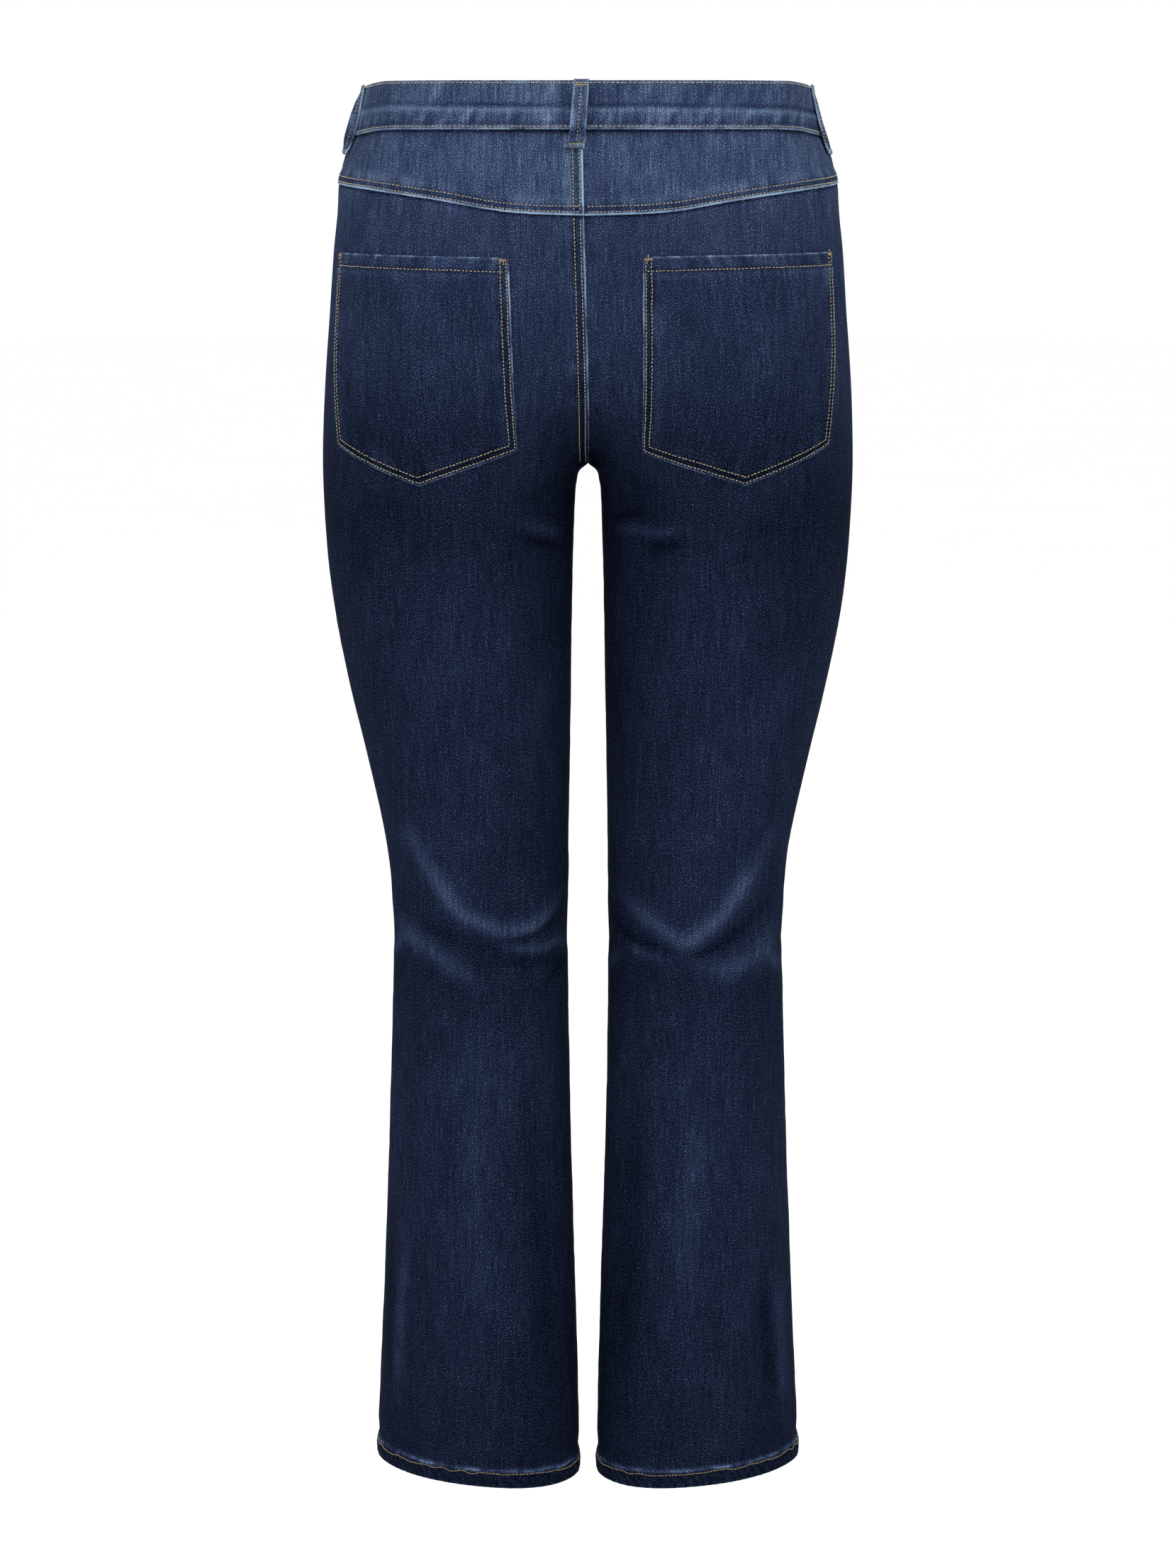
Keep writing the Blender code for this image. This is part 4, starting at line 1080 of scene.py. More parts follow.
def hem_roping(cloth, seed, side):
    """The twisted look of a turned hem: faint slanting ridges below the stitches, and a soft worn ridge above
    them where the cloth rolls."""
    up = cloth.from_bottom()
    slant = cloth.across * side + 0.8 * up
    pitch = 8.0 * MM
    ropes = np.sin(math.tau * (slant / pitch + 0.9 * cloth.patches(seed, 19.0)))
    ropes *= 0.55 + 0.45 * cloth.patches(seed + 1, 31.0)
    band = step_down(up, HEM, 1.0 * MM)
    roll = up - HEM - (2.6 + 0.8 * cloth.patches(seed + 2, 14.0)) * MM
    ridge = bell(roll, 2.0 * MM)
    strength = np.clip(0.68 + 0.3 * cloth.patches(seed + 3, 21.0) + 0.4 * cloth.patches(seed + 4, 4.5),
                       0.15, 1.0)
    rise = 0.16 * MM * ropes * band - 0.5 * MM * bell(up - HEM + 0.2 * MM, 0.9 * MM)
    rise += (0.45 + 0.15 * ropes) * MM * ridge
    fade = band * (0.12 * ropes - 0.05) + 0.10 * ridge
    # painted shade along the hem's top edge, in the groove of its stitches
    fade -= 0.10 * bell(up - HEM, 1.4 * MM)
    wear = 0.55 * strength * ridge + 0.22 * bell(up, 1.0 * MM) + 0.10 * band * np.clip(ropes, 0.0, 1.0)
    return rise, fade, wear


def seat_seam(height):
    """1 on the centre seam of the seat, 0 on the inseam below the crotch."""
    return step_down(-height, -CROTCH - 0.8 * MM, 0.7 * MM)


def folded_edge(seed, along, last):
    """Rise, fading and wear of a seam folded over its neighbour: a flat ridge between the edge and its two
    rows of stitches, which pull the cloth beside them into puckers. The strip between the rows gets painted
    shade."""
    beside = puckers(seed, along, np.abs(last - FELL))
    between = step_down(last, EDGE_ROW + ROW_GAP + 0.8 * MM, 0.8 * MM) * (1.0 - bell(last, 1.6 * MM))
    rise = 0.85 * MM * step_down(last, FELL, 1.2 * MM) + 0.32 * MM * beside
    for row in DOUBLE_ROW:
        rise -= 0.4 * MM * bell(last - row, 0.9 * MM)
    # painted shade on the strip between the rows
    fade = 0.09 * beside - 0.09 * between + 0.04 * bell(last - 12.0 * MM, 3.0 * MM)
    rubbed = np.clip(0.85 + 0.3 * uneven(seed + 1, along / (11.0 * MM)), 0.0, 1.0)
    wear = 0.60 * bell(last, 1.4 * MM) * rubbed
    return rise, fade, wear


def panel_seams(cloth, leg, face, seed):
    """Rise, fading and painted shade, and wear along a leg panel's seams: the side seam, the centre seam and
    the inseam.
    """
    above = seat_seam(cloth.base[..., 2])
    first, last = cloth.from_first(), cloth.from_last()
    rise = -0.35 * MM * bell(first, 2.2 * MM) + 0.22 * MM * puckers(seed, cloth.down, first)
    # a painted shade line along the side seam, and lighter and darker puckers beside it
    fade = 0.07 * puckers(seed, cloth.down, first, 9.0 * MM) - 0.10 * bell(first, 1.4 * MM)
    flat = -0.3 * MM * bell(last, 2.5 * MM) + 0.2 * MM * puckers(seed + 2, cloth.down, last)
    # a painted shadow along the centre edge, beside the other leg's raised fold, and along the inseam
    flat_fade_and_shade = -0.12 * bell(last, 1.6 * MM) + 0.06 * puckers(seed + 2, cloth.down, last, 9.0 * MM)
    if leg == 1:
        fold, fold_fade_and_shade, wear = folded_edge(seed + 1, cloth.down, cloth.from_middle())
        # the fold lies flat on the seat and stands on edge where the seam turns in between the legs
        fold = fold * np.clip(np.abs(cloth.normals[..., 1]) / 0.6, 0.0, 1.0)
        wear = wear * (1.0 if face == 1 else 0.5)
        return (rise + above * fold + (1.0 - above) * flat,
                fade + above * fold_fade_and_shade + (1.0 - above) * flat_fade_and_shade, above * wear)
    return rise + flat, fade + flat_fade_and_shade, 0.0 * last


def leg_panel(leg, side, face, word, step):
    """One leg panel, from below the waistband or the yoke to the turned hem."""
    sizes = settings().cloth
    node = f"{word}_panel_{side}"
    # stepped up from the hem, since a straight top edge may lack points
    corners = towards(leg, 0, -1), towards(-leg, 0, -1), towards(leg, 0, 1), towards(-leg, 0, 1)
    net = wall_net(node, corners, RIM_ANGLE if face == 1 else CROTCH_ANGLE)[::-1]
    cloth = Cloth.on(net, step, sizes.seam_step, (8.0 * MM, 18.0 * MM, 5.0 * MM, 12.0 * MM),
                     (CROTCH_ROWS,))
    cloth.straighten(PLUMB)
    seed = 100 * (2 + leg) + 10 * (2 + face)
    height = cloth.base[..., 2]
    creases, crease_light_and_shade = crease_rise(cloth, leg, face)
    seams, seam_fade_and_shade, wear = panel_seams(cloth, leg, face, seed)
    ropes, rope_fade_and_shade, rope_wear = hem_roping(cloth, seed + 5, leg)
    down = cloth.from_top()
    top = -0.45 * MM * bell(down, 3.0 * MM) + 0.25 * MM * puckers(seed + 6, cloth.across, down, 10.0 * MM)
    cloth.lift(creases + seams + ropes + top + drape(cloth, seed + 7))
    cloth.overlap(LAP[leg], seat_seam(height))
    cloth.settle()
    cloth.tuck()
    # lighter over the middle of the thigh and darker to either side: partly real fading, partly painted light
    # and shade
    thigh_fade_and_light = bell((np.abs(cloth.base[..., 0]) - 108.0 * MM), 62.0 * MM)
    # the creases add painted highlights and shade, the seams painted shadows, and the last term paints the
    # shadow that the edge above casts along the top
    cloth.fade = (fade_and_shade_at(height) + 0.045 * (thigh_fade_and_light - 0.5) + crease_light_and_shade + seam_fade_and_shade
                  + rope_fade_and_shade + 0.06 * puckers(seed + 6, cloth.across, down, 14.0 * MM)
                  + 0.03 * cloth.patches(seed + 8, 60.0, 90.0) - 0.30 * bell(down, 1.7 * MM))
    cloth.wear = wear + rope_wear
    thick = sizes.thickness + 1.2 * MM * step_down(cloth.from_bottom(), HEM, 0.6 * MM)
    lay(cloth, node, thick, leg * face)


class JEANS_OT_back_panels(bpy.types.Operator):
    """Drapes both back leg panels, with the folds behind the knees and under the seat"""
    bl_idname = "jeans.back_panels"
    bl_label = "Back Panels"

    def execute(self, context):
        for leg, side in SIDES:
            leg_panel(leg, side, 1, "back", settings().cloth.back_step)
        return {"FINISHED"}


class JEANS_OT_front_panels(bpy.types.Operator):
    """Drapes both front leg panels, with the fly's fold on the wearer's left"""
    bl_idname = "jeans.front_panels"
    bl_label = "Front Panels"

    def execute(self, context):
        for leg, side in SIDES:
            leg_panel(leg, side, -1, "front", settings().cloth.front_step)
        return {"FINISHED"}


class JEANS_OT_yokes(bpy.types.Operator):
    """Lays the two halves of the back yoke over the panels' top edges"""
    bl_idname = "jeans.yokes"
    bl_label = "Back Yokes"

    def execute(self, context):
        sizes = settings().cloth
        for leg, side in SIDES:
            node = f"back_yoke_{side}"
            corners = towards(leg, 0, 1), towards(-leg, 0, 2), towards(3 * leg, 0, -1), towards(-leg, 0, -2)
            cloth = Cloth.on(wall_net(node, corners), sizes.small_step, sizes.seam_step,
                             (6.0 * MM, 15.0 * MM, 4.0 * MM, 12.0 * MM))
            cloth.straighten(PLUMB)
            seed = 500 + 20 * leg
            up, last, first = cloth.from_bottom(), cloth.from_last(), cloth.from_first()
            rise, fade, wear = folded_edge(seed, cloth.across, up)
            top = cloth.from_top()
            rise += -0.5 * MM * bell(top, 2.5 * MM) - 0.3 * MM * bell(first, 2.2 * MM)
            rise += 0.2 * MM * puckers(seed + 7, cloth.across, top, 8.0 * MM)
            rise += drape(cloth, seed + 2, 0.35 * MM)
            if leg == 1:
                centre, centre_fade_and_shade, centre_wear = folded_edge(seed + 3, cloth.down, last)
                rise, fade, wear = rise + centre, fade + centre_fade_and_shade, np.maximum(wear, centre_wear)
            else:
                rise -= 0.3 * MM * bell(last, 2.5 * MM)
                # painted shadow beside the left yoke's raised centre edge
                fade = fade - 0.2 * bell(last, 1.6 * MM)
            cloth.lift(rise)
            cloth.overlap(LAP[leg])
            cloth.settle()
            cloth.tuck()
            patchy = cloth.patches(seed + 4, 13.0, 16.0) * np.exp(-up / (22.0 * MM))
            # painted shadow along the top, under the waistband's edge
            cloth.fade = (0.575 + 0.05 * patchy + fade
                          - 0.32 * bell(top, 1.8 * MM) - 0.08 * bell(top, 5.0 * MM)
                          + 0.05 * puckers(seed + 7, cloth.across, top, 10.0 * MM)
                          + 0.03 * cloth.patches(seed + 5, 50.0, 30.0))
            cloth.wear = wear
            lay(cloth, node, sizes.thickness, leg)
        return {"FINISHED"}


BAND_ROWS = 5.5 * MM, -6.5 * MM, 1.0 * MM   # finer rows about the band's crease: from, to and spacing
BAND_RIDGE = 14.8 * MM              # height of the band's soft ridge above its lower edge
BAND_CREASE = 4.4 * MM              # height of the crease above the ridge


class JEANS_OT_waistband(bpy.types.Operator):
    """Makes the waistband, creased along its middle, with its end buttoned over the underlap"""
    bl_idname = "jeans.waistband"
    bl_label = "Waistband"

    def execute(self, context):
        sizes = settings().cloth
        cloth = Cloth.on(band_net(), sizes.small_step, sizes.seam_step,
                         (7.0 * MM, 8.0 * MM, 6.0 * MM, 4.0 * MM), (BAND_ROWS,))
        up, down = cloth.from_bottom(), cloth.from_top()
        along = cloth.across
        behind = cloth.base[..., 1] > 0.0
        # the warp is straight at the middle of the back
        middle = [np.interp(0.0, -row[back], place[back])
                  for row, back, place in zip(cloth.base[..., 0], behind, along)]
        cloth.grain = along - np.array(middle)[:, None], cloth.base[..., 2]
        ridge = up - BAND_RIDGE - 0.8 * MM * cloth.patches(601, 70.0)
        ridge = ridge - 1.3 * MM * np.clip(cloth.base[..., 0] / (120.0 * MM), -1.0, 1.0)
        crease = ridge - BAND_CREASE - 0.6 * MM * cloth.patches(608, 18.0)
        patchy = np.clip(0.75 + 0.6 * cloth.patches(607, 30.0), 0.0, 1.0)
        ribs = uneven(602, along / (4.5 * MM), up / (40.0 * MM)) * bell(up - 8.0 * MM, 5.5 * MM)
        rise = 0.6 * MM * bell(ridge, 3.0 * MM) - 0.6 * MM * bell(crease, 2.0 * MM) * patchy
        rise += 0.35 * MM * ribs
        rise += 0.35 * MM * step_down(up, 3.6 * MM, 0.8 * MM) - 0.35 * MM * bell(up - EDGE_ROW, 0.8 * MM)
        rise -= 0.30 * MM * bell(down - 1.7 * MM, 0.8 * MM)
        rise += 0.25 * MM * uneven(603, along / (55.0 * MM), up / (30.0 * MM))
        cloth.lift(rise)
        cloth.settle()
        # painted shadow of the back loop on the cloth beside it
        loop = np.abs(cloth.base[..., 0] - 7.0 * MM) + 200.0 * MM * (cloth.base[..., 1] < 0.0)
        # painted highlight on the ridge, painted shade in the crease, painted light and shade on the ribs,
        # and a darker line 5 mm above the lower edge
        cloth.fade = (0.60 + 0.10 * bell(ridge, 2.6 * MM) - 0.15 * bell(crease, 1.8 * MM) * patchy
                      + 0.13 * ribs - 0.10 * bell(loop - 10.0 * MM, 6.0 * MM)
                      - 0.08 * bell(up - 5.0 * MM, 1.5 * MM)
                      + 0.05 * uneven(604, along / (16.0 * MM), up / (30.0 * MM))
                      + 0.04 * uneven(605, along / (5.0 * MM), up / (12.0 * MM)))
        cloth.wear = (0.36 * bell(up, 1.0 * MM) + 0.16 * bell(down, 1.0 * MM)) * np.clip(
            0.8 + 0.4 * cloth.patches(606, 13.0), 0.0, 1.0)
        lay(cloth, "waistband", sizes.band_thickness)
        return {"FINISHED"}


UNDERLAP = 34.0 * MM                # how far the band's tucked end reaches past the middle of the front
UNDERLAP_DEPTH = 2.8 * MM           # and how far it lies behind the other end
SAME_PLACE = 0.006                  # places on the band's edges closer than this share of its length are one


def band_net():
    """The band's upper and lower edges, at the places where either has a point. Its overlapping end stands at
    the middle of the front, and its tucked end behind it."""
    low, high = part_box("waistband")
    behind = low.y + UNDERLAP_DEPTH
    mesh = node_mesh("waistband")
    wall = open_wall(mesh, (
        nearest_to(0.0, low.y, high.z), nearest_to(UNDERLAP, behind, high.z),
        nearest_to(0.0, low.y, low.z), nearest_to(UNDERLAP, behind, low.z)), RIM_ANGLE)
    places = []
    for side in (wall.first_row, wall.last_row):
        along = path_lengths(coordinates(side))
        places += list(along / along[-1])
    shares = []
    for place in sorted(places):
        if shares and place - shares[-1][0] < SAME_PLACE:
            shares[-1].append(place)
        else:
            shares.append([place])
    shares = np.array([sum(group) / len(group) for group in shares])
    net = np.stack([along_side(side, shares) for side in (wall.first_row, wall.last_row)])
    mesh.free()
    return net


# The ways in which a pocket's inner top, outer top, outer low, lowest and inner low corners lie furthest:
# away from the middle, and up.
POCKET_CORNERS = (-1.0, 1.6), (1.0, 1.6), (1.0, -1.0), (0.0, -1.0), (-1.0, -1.4)


def pocket_corners(node):
    """The pocket's five corners, read from its solid: (distance from the middle, height)."""
    places = [(abs(v.co.x), v.co.z) for v in frame["nodes"][node].data.vertices]
    return [max(places, key=lambda place: across * place[0] + up * place[1]) for across, up in POCKET_CORNERS]


class JEANS_OT_back_pockets(bpy.types.Operator):
    """Lays the two five-sided patch pockets on the back panels"""
    bl_idname = "jeans.back_pockets"
    bl_label = "Back Pockets"

    def execute(self, context):
        for leg, side in SIDES:
            self.pocket(leg, side)
        return {"FINISHED"}

    def pocket(self, leg, side):
        """One pocket: a flat plan between its five corners, laid on the panel."""
        sizes = settings().cloth
        node = f"back_pocket_{side}"
        panel = MADE[f"back_panel_{side}"]
        solid = pocket_corners(node)
        outline = [np.array([panel.across_at(*corner), corner[1]]) for corner in solid]
        inner_top, outer_top, outer_low, point, inner_low = outline
        share_of_point = (point[0] - outer_low[0]) / (inner_low[0] - outer_low[0])
        step, fine = sizes.small_step, sizes.seam_step
        wide = float(np.linalg.norm(inner_top - outer_top))
        tall = float(outer_top[1] - point[1])
        across = spaced(wide, step, fine, 11.0 * MM, 11.0 * MM) / wide
        nearest = int(np.abs(across - share_of_point).argmin())
        across[nearest] = share_of_point
        down = spaced(tall, step, fine, 14.0 * MM, 12.0 * MM) / tall
        top = outer_top + (inner_top - outer_top) * across[:, None]
        low = np.where(
            (across < share_of_point)[:, None],
            outer_low + (point - outer_low) * (across / share_of_point)[:, None],
            point + (inner_low - point) * ((across - share_of_point) / (1.0 - share_of_point))[:, None])
        plan = top[None] + (low - top)[None] * down[:, None, None]
        # the inner side is straight as seen from behind, and the rest of the pocket follows it
        heights = np.linspace(inner_low[1], inner_top[1], 24)
        part = (heights - inner_low[1]) / (inner_top[1] - inner_low[1])
        straight = solid[4][0] + (solid[0][0] - solid[4][0]) * part
        bow = np.array([panel.across_at(x, height) for x, height in zip(straight, heights)])
        bow -= inner_low[0] + (inner_top[0] - inner_low[0]) * part
        outer = np.interp(plan[..., 1], [outer_low[1], outer_top[1]], [outer_low[0], outer_top[0]])
        inner = np.interp(plan[..., 1], [inner_low[1], inner_top[1]], [inner_low[0], inner_top[0]])
        follow = np.clip((plan[..., 0] - outer) / (inner - outer), 0.0, 1.0) ** 2
        across = plan[..., 0] + follow * np.interp(plan[..., 1], heights, bow)
        points, normals = panel.at(across, plan[..., 1])
        lift = SEAM_GAP + sizes.pocket_thickness
        cloth = Cloth(points + normals * lift)
        cloth.plan, cloth.outline = plan, outline
        cloth.grain = plan[..., 0], plan[..., 1]
        edges = [edge_distance(plan, a, b) for a, b in zip(outline, outline[1:] + outline[:1])]
        hem, outer_side, low_outer, low_inner, inner_side = edges
        sides = np.minimum.reduce([outer_side, low_outer, low_inner, inner_side])
        seed = 700 + 30 * leg
        around = np.where(low_outer + low_inner < outer_side + inner_side, plan[..., 0], plan[..., 1])
        band = step_down(hem, 9.6 * MM, 0.9 * MM)
        side_rise, side_fade_and_shade, side_wear = folded_edge(seed, around + 0.3 * plan[..., 0], sides)
        ropes = uneven(seed + 1, (plan[..., 0] + 0.5 * hem) / (6.0 * MM))
        rise = side_rise * (1.0 - 0.75 * band) * 0.8 + 0.5 * MM * band
        rise -= 0.4 * MM * bell(hem - POCKET_HEM, 0.9 * MM)
        rise += 0.30 * MM * band * ropes + 0.35 * MM * bell(hem - 13.5 * MM, 2.6 * MM)
        rise += 0.6 * MM * np.clip(sides / (40.0 * MM), 0.0, 1.0)
        rise += drape(cloth, seed + 3, 0.35 * MM)
        cloth.lift(rise)
        cloth.settle()
        patchy = uneven(seed + 4, plan[..., 0] / (12.0 * MM), plan[..., 1] / (16.0 * MM))
        # painted highlight on the rolled top 14 mm down, painted shade in the groove at the hem's lower edge,
        # and painted shade between the sides' rows
        cloth.fade = (fade_and_shade_at(plan[..., 1] - 22.0 * MM) - 0.01 + 0.04 * patchy * np.exp(-sides / (14.0 * MM))
                      + side_fade_and_shade * (1.0 - 0.8 * band) + band * (0.03 + 0.10 * ropes)
                      + 0.07 * bell(hem - 14.0 * MM, 2.4 * MM) - 0.09 * bell(hem - POCKET_HEM, 1.8 * MM))
        rubbed = np.clip(0.75 + 0.5 * uneven(seed + 5, plan[..., 1] / (7.0 * MM), plan[..., 0] / (7.0 * MM)),
                         0.0, 1.0)
        cloth.wear = np.maximum(side_wear * (1.0 - 0.5 * band), 0.42 * bell(hem, 1.2 * MM) * rubbed)
        lay(cloth, node, sizes.pocket_thickness, leg)


def direction(start, end):
    """The way from one place to another, of length 1."""
    return (end - start) / np.linalg.norm(end - start)


def edge_distance(plan, a, b):
    """Distance of each place of a flat plan from the line through two corners."""
    way = direction(a, b)
    return np.abs((plan[..., 0] - a[0]) * way[1] - (plan[..., 1] - a[1]) * way[0])


def inset_corner(before, corner, after, first, second):
    """Where two sides of an outline meet when each is moved in by its own distance."""
    ways = [direction(before, corner), direction(corner, after)]
    turn = np.sign(ways[0][0] * ways[1][1] - ways[0][1] * ways[1][0])
    insides = [np.array([-way[1], way[0]]) * turn for way in ways]
    ends = [corner + insides[0] * first, corner + insides[1] * second]
    matrix = np.stack([ways[0], -ways[1]], axis=-1)
    along = np.linalg.solve(matrix, ends[1] - ends[0])
    return ends[0] + ways[0] * along[0]


NEIGHBOURS = 4                      # points of the pocket's grid that each place of a path is laid between


def path_on_pocket(pocket, corners, step=1.5 * MM):
    """A path through flat plan corners, laid on the pocket's face."""
    places = [corners[0]]
    for a, b in zip(corners, corners[1:]):
        count = max(2, int(np.linalg.norm(b - a) / step))
        places += [a + (b - a) * k / count for k in range(1, count + 1)]
    places = np.array(places)
    flat = pocket.plan.reshape(-1, 2)
    points, normals = pocket.points.reshape(-1, 3), pocket.normals.reshape(-1, 3)
    picked = []
    for place in places:
        away = ((flat - place) ** 2).sum(axis=1)
        near = np.argpartition(away, NEIGHBOURS)[:NEIGHBOURS]
        weight = 1.0 / (away[near] + (0.25 * MM) ** 2)
        weight = (weight / weight.sum())[:, None]
        picked.append([(grid[near] * weight).sum(axis=0) for grid in (points, normals)])
    picked = np.array(picked)
    return Path(picked[:, 0], unit(picked[:, 1]))


# A loop lies closer to the band than its solid. bow is the share of the solid's bow that it keeps, turn how
# far it turns to look more backwards, in degrees, and shift how far its middle moves to the wearer's left, in
# millimetres.
Loop = namedtuple("Loop", "name bow turn shift")
LOOPS = (
    Loop("back", 0.6, 0.0, 0.0), Loop("side_left", 0.22, 24.0, -1.6), Loop("side_right", 0.15, 0.0, 2.5),
    Loop("front_left", 0.7, 0.0, 0.0), Loop("front_right", 0.7, 0.0, 0.0),
)
LOOP_TACKS = (4, 10.5 * MM), (-5, 12.5 * MM)    # each bar tack's row of the grid, and its length


class JEANS_OT_belt_loops(bpy.types.Operator):
    """Folds the five belt loops, with their bar-tacked ends"""
    bl_idname = "jeans.belt_loops"
    bl_label = "Belt Loops"

    def execute(self, context):
        tacks, rows = Sewing(), Sewing(LOOP_STITCH)
        for number, shape in enumerate(LOOPS):
            node = f"belt_loop_{shape.name}"
            low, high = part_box(node)
            out = Vector(((low.x + high.x) / 2.0, (low.y + high.y) / 2.0, 0.0)).normalized()
            right = Vector((out.y, -out.x, 0.0))
            corners = [towards(*(right * way + Vector((0, 0, rise)))) for way, rise in (
                (-1.0, 1.0), (1.0, 1.0), (-1.0, -1.0), (1.0, -1.0))]
            cloth = self.loop(node, corners, number, shape)
            middle = cloth.points.shape[1] // 2
            path = Path(cloth.points[:, middle], cloth.normals[:, middle])
            rows.row(trimmed(path, 3.0 * MM, 5.0 * MM), LOOP_PITCH, seed=40 + number)
            for row, size in LOOP_TACKS:
                at, normal = cloth.points[row, middle], cloth.normals[row, middle]
                way = cloth.points[row, -1] - cloth.points[row, 0]
                tacks.tack(at, way, normal, size)
        rows.finish("belt_loop_stitches")
        tacks.finish("belt_loop_bar_tacks", "tack_thread")
        return {"FINISHED"}

    def worn_net(self, node, corners, shape):
        """A loop's net as it lies on the band. It moves most at its middle, and its ends stay."""
        net = strip_net(node, corners)
        down = (net[:1, 1:2, 2] - net[:, 1:2, 2]) / (net[0, 1, 2] - net[-1, 1, 2])
        chord = net[:1] + (net[-1:] - net[:1]) * down[..., None]
        net = chord + (net - chord) * shape.bow
        belly = np.sin(math.pi * np.clip(down, 0.0, 1.0))
        angle = math.radians(shape.turn) * belly
        net[..., 0] += shape.shift * MM * belly
        middle = net[:, 1:2]
        x, y = (net - middle)[..., 0], (net - middle)[..., 1]
        net[..., 0] = middle[..., 0] + x * np.cos(angle) - y * np.sin(angle)
        net[..., 1] = middle[..., 1] + x * np.sin(angle) + y * np.cos(angle)
        return net

    def loop(self, node, corners, number, shape):
        """One loop's cloth: its edges stand out, and its middle is sewn down."""
        cloth = Cloth.on(self.worn_net(node, corners, shape), 0.9 * MM, 0.9 * MM)
        first, last, up = cloth.from_first(), cloth.from_last(), cloth.from_bottom()
        edge = np.minimum(first, last)
        rise = 0.35 * MM * bell(edge - 1.4 * MM, 1.2 * MM) - 0.25 * MM * bell(first - last, 1.2 * MM)
        rise += 0.8 * MM * bell(up - 2.4 * MM, 1.8 * MM) + 0.15 * MM * cloth.patches(610 + number, 4.0, 6.0)
        cloth.lift(rise)
        # the foot is folded under and spreads to one side, and the head bulges over the band's edge
        middle = cloth.points[:, cloth.points.shape[1] // 2][:, None]
        spread = step_down(up, 5.0 * MM, 1.3 * MM) * (1.0 + 0.12 * uneven(630 + number, up / (2.5 * MM)))
        aside = unit(cloth.points[:, :1] - cloth.points[:, -1:]) * (1.0 if number == 0 else 0.3)
        cloth.points = middle + (cloth.points - middle) * (1.06 + 0.06 * spread[..., None])
        cloth.points = cloth.points - aside * (1.8 * MM * spread)[..., None]
        cloth.points[..., 2] += 1.3 * MM * np.exp(-cloth.from_top() / (2.0 * MM))
        cloth.settle()
        cloth.fade = (0.60 + 0.10 * cloth.patches(620 + number, 5.0, 9.0)
                      - 0.16 * bell(up - 13.0 * MM, 4.0 * MM) - 0.06 * bell(first - last, 1.5 * MM))
        cloth.wear = 0.30 * bell(edge, 0.9 * MM) + 0.20 * bell(up - 2.0 * MM, 1.6 * MM)
        lay(cloth, node, settings().cloth.loop_thickness)
        return cloth


def above_crotch(path):
    """The stretch of a path down the centre seam that ends at the crotch."""
    above = path.points[:, 2] > SEAT_END
    return Path(path.points[above], path.normals[above])


class JEANS_OT_topstitching(bpy.types.Operator):
    """Sews the waistband, the yokes, the seat seam and the back pockets"""
    bl_idname = "jeans.topstitching"
    bl_label = "Topstitching"

    def execute(self, context):
        band, pitch = MADE["waistband"], settings().sewing.band_pitch
        work = Sewing(BAND_STITCH)
        for seed, path in (
                (11, band.row_path(EDGE_ROW, 2.0 * MM, 30.0 * MM, bottom=True)),
                (12, band.row_path(1.7 * MM, 2.0 * MM, 30.0 * MM)),
                (13, band.column_path(2.6 * MM, 2.0 * MM, 2.0 * MM))):
            work.row(path, pitch, seed=seed)
        work.finish("waistband_stitches")

        work = Sewing()
        for leg, side in SIDES:
            yoke = MADE[f"back_yoke_{side}"]
            inner = 1.5 * MM if leg == -1 else 0.8 * MM
            for number, distance in enumerate(DOUBLE_ROW):
                work.row(yoke.row_path(distance, 1.5 * MM, inner, bottom=True), seed=20 + 5 * number + leg)
        work.finish("yoke_stitches")

        work = Sewing()
        yoke, panel = MADE["back_yoke_left"], MADE["back_panel_left"]
        for number, distance in enumerate(DOUBLE_ROW):
            work.row(yoke.column_path(distance, 8.0 * MM, 1.0 * MM, last=True), seed=30 + number)
            work.row(above_crotch(panel.column_path(distance, 1.0 * MM, last=True)), seed=33 + number)
        work.finish("seat_seam_stitches")

        work, tacks = Sewing(POCKET_STITCH), Sewing()
        for leg, side in SIDES:
            self.pocket(MADE[f"back_pocket_{side}"], work, tacks, 50 + leg)
        work.finish("pocket_stitches")
        tacks.finish("pocket_bar_tacks", "tack_thread")
        return {"FINISHED"}

    def pocket(self, pocket, work, tacks, seed):
        """The double row round a pocket's sides, the row along its hem, and a bar tack with loose thread ends
        at each end of its top."""
        inner_top, outer_top, outer_low, point, inner_low = pocket.outline
        loop = [outer_top, outer_low, point, inner_low, inner_top]
        for number, distance in enumerate(DOUBLE_ROW):
            insets = [1.2 * MM] + [distance] * 4
            corners = [inset_corner(loop[k - 1], loop[k], loop[(k + 1) % 5], insets[k], insets[(k + 1) % 5])
                       for k in range(5)]
            work.row(path_on_pocket(pocket, corners), POCKET_PITCH, seed=seed + 3 * number)
        begin, end = [top + direction(top, low) * POCKET_HEM
                      for top, low in ((outer_top, outer_low), (inner_top, inner_low))]
        inset = direction(begin, end) * 1.5 * MM
        work.row(path_on_pocket(pocket, [begin + inset, end - inset]), POCKET_HEM_PITCH, seed=seed + 9)
        for top, low, other in ((outer_top, outer_low, inner_top), (inner_top, inner_low, outer_top)):
            inwards = direction(top, other)
            start = top + direction(top, low) * 2.0 * MM + inwards * 4.5 * MM
            path = path_on_pocket(pocket, [start - inwards * 2.0 * MM, start + inwards * 2.0 * MM])
            middle = len(path.points) // 2
            at, way, normal = path.points[middle], path.points[-1] - path.points[0], path.normals[middle]
            tacks.tack(at, way, normal, 5.5 * MM, 2.4 * MM)
            for number in range(3):
                tacks.end(at, way, normal, 4.0 * MM, seed * 7 + number)


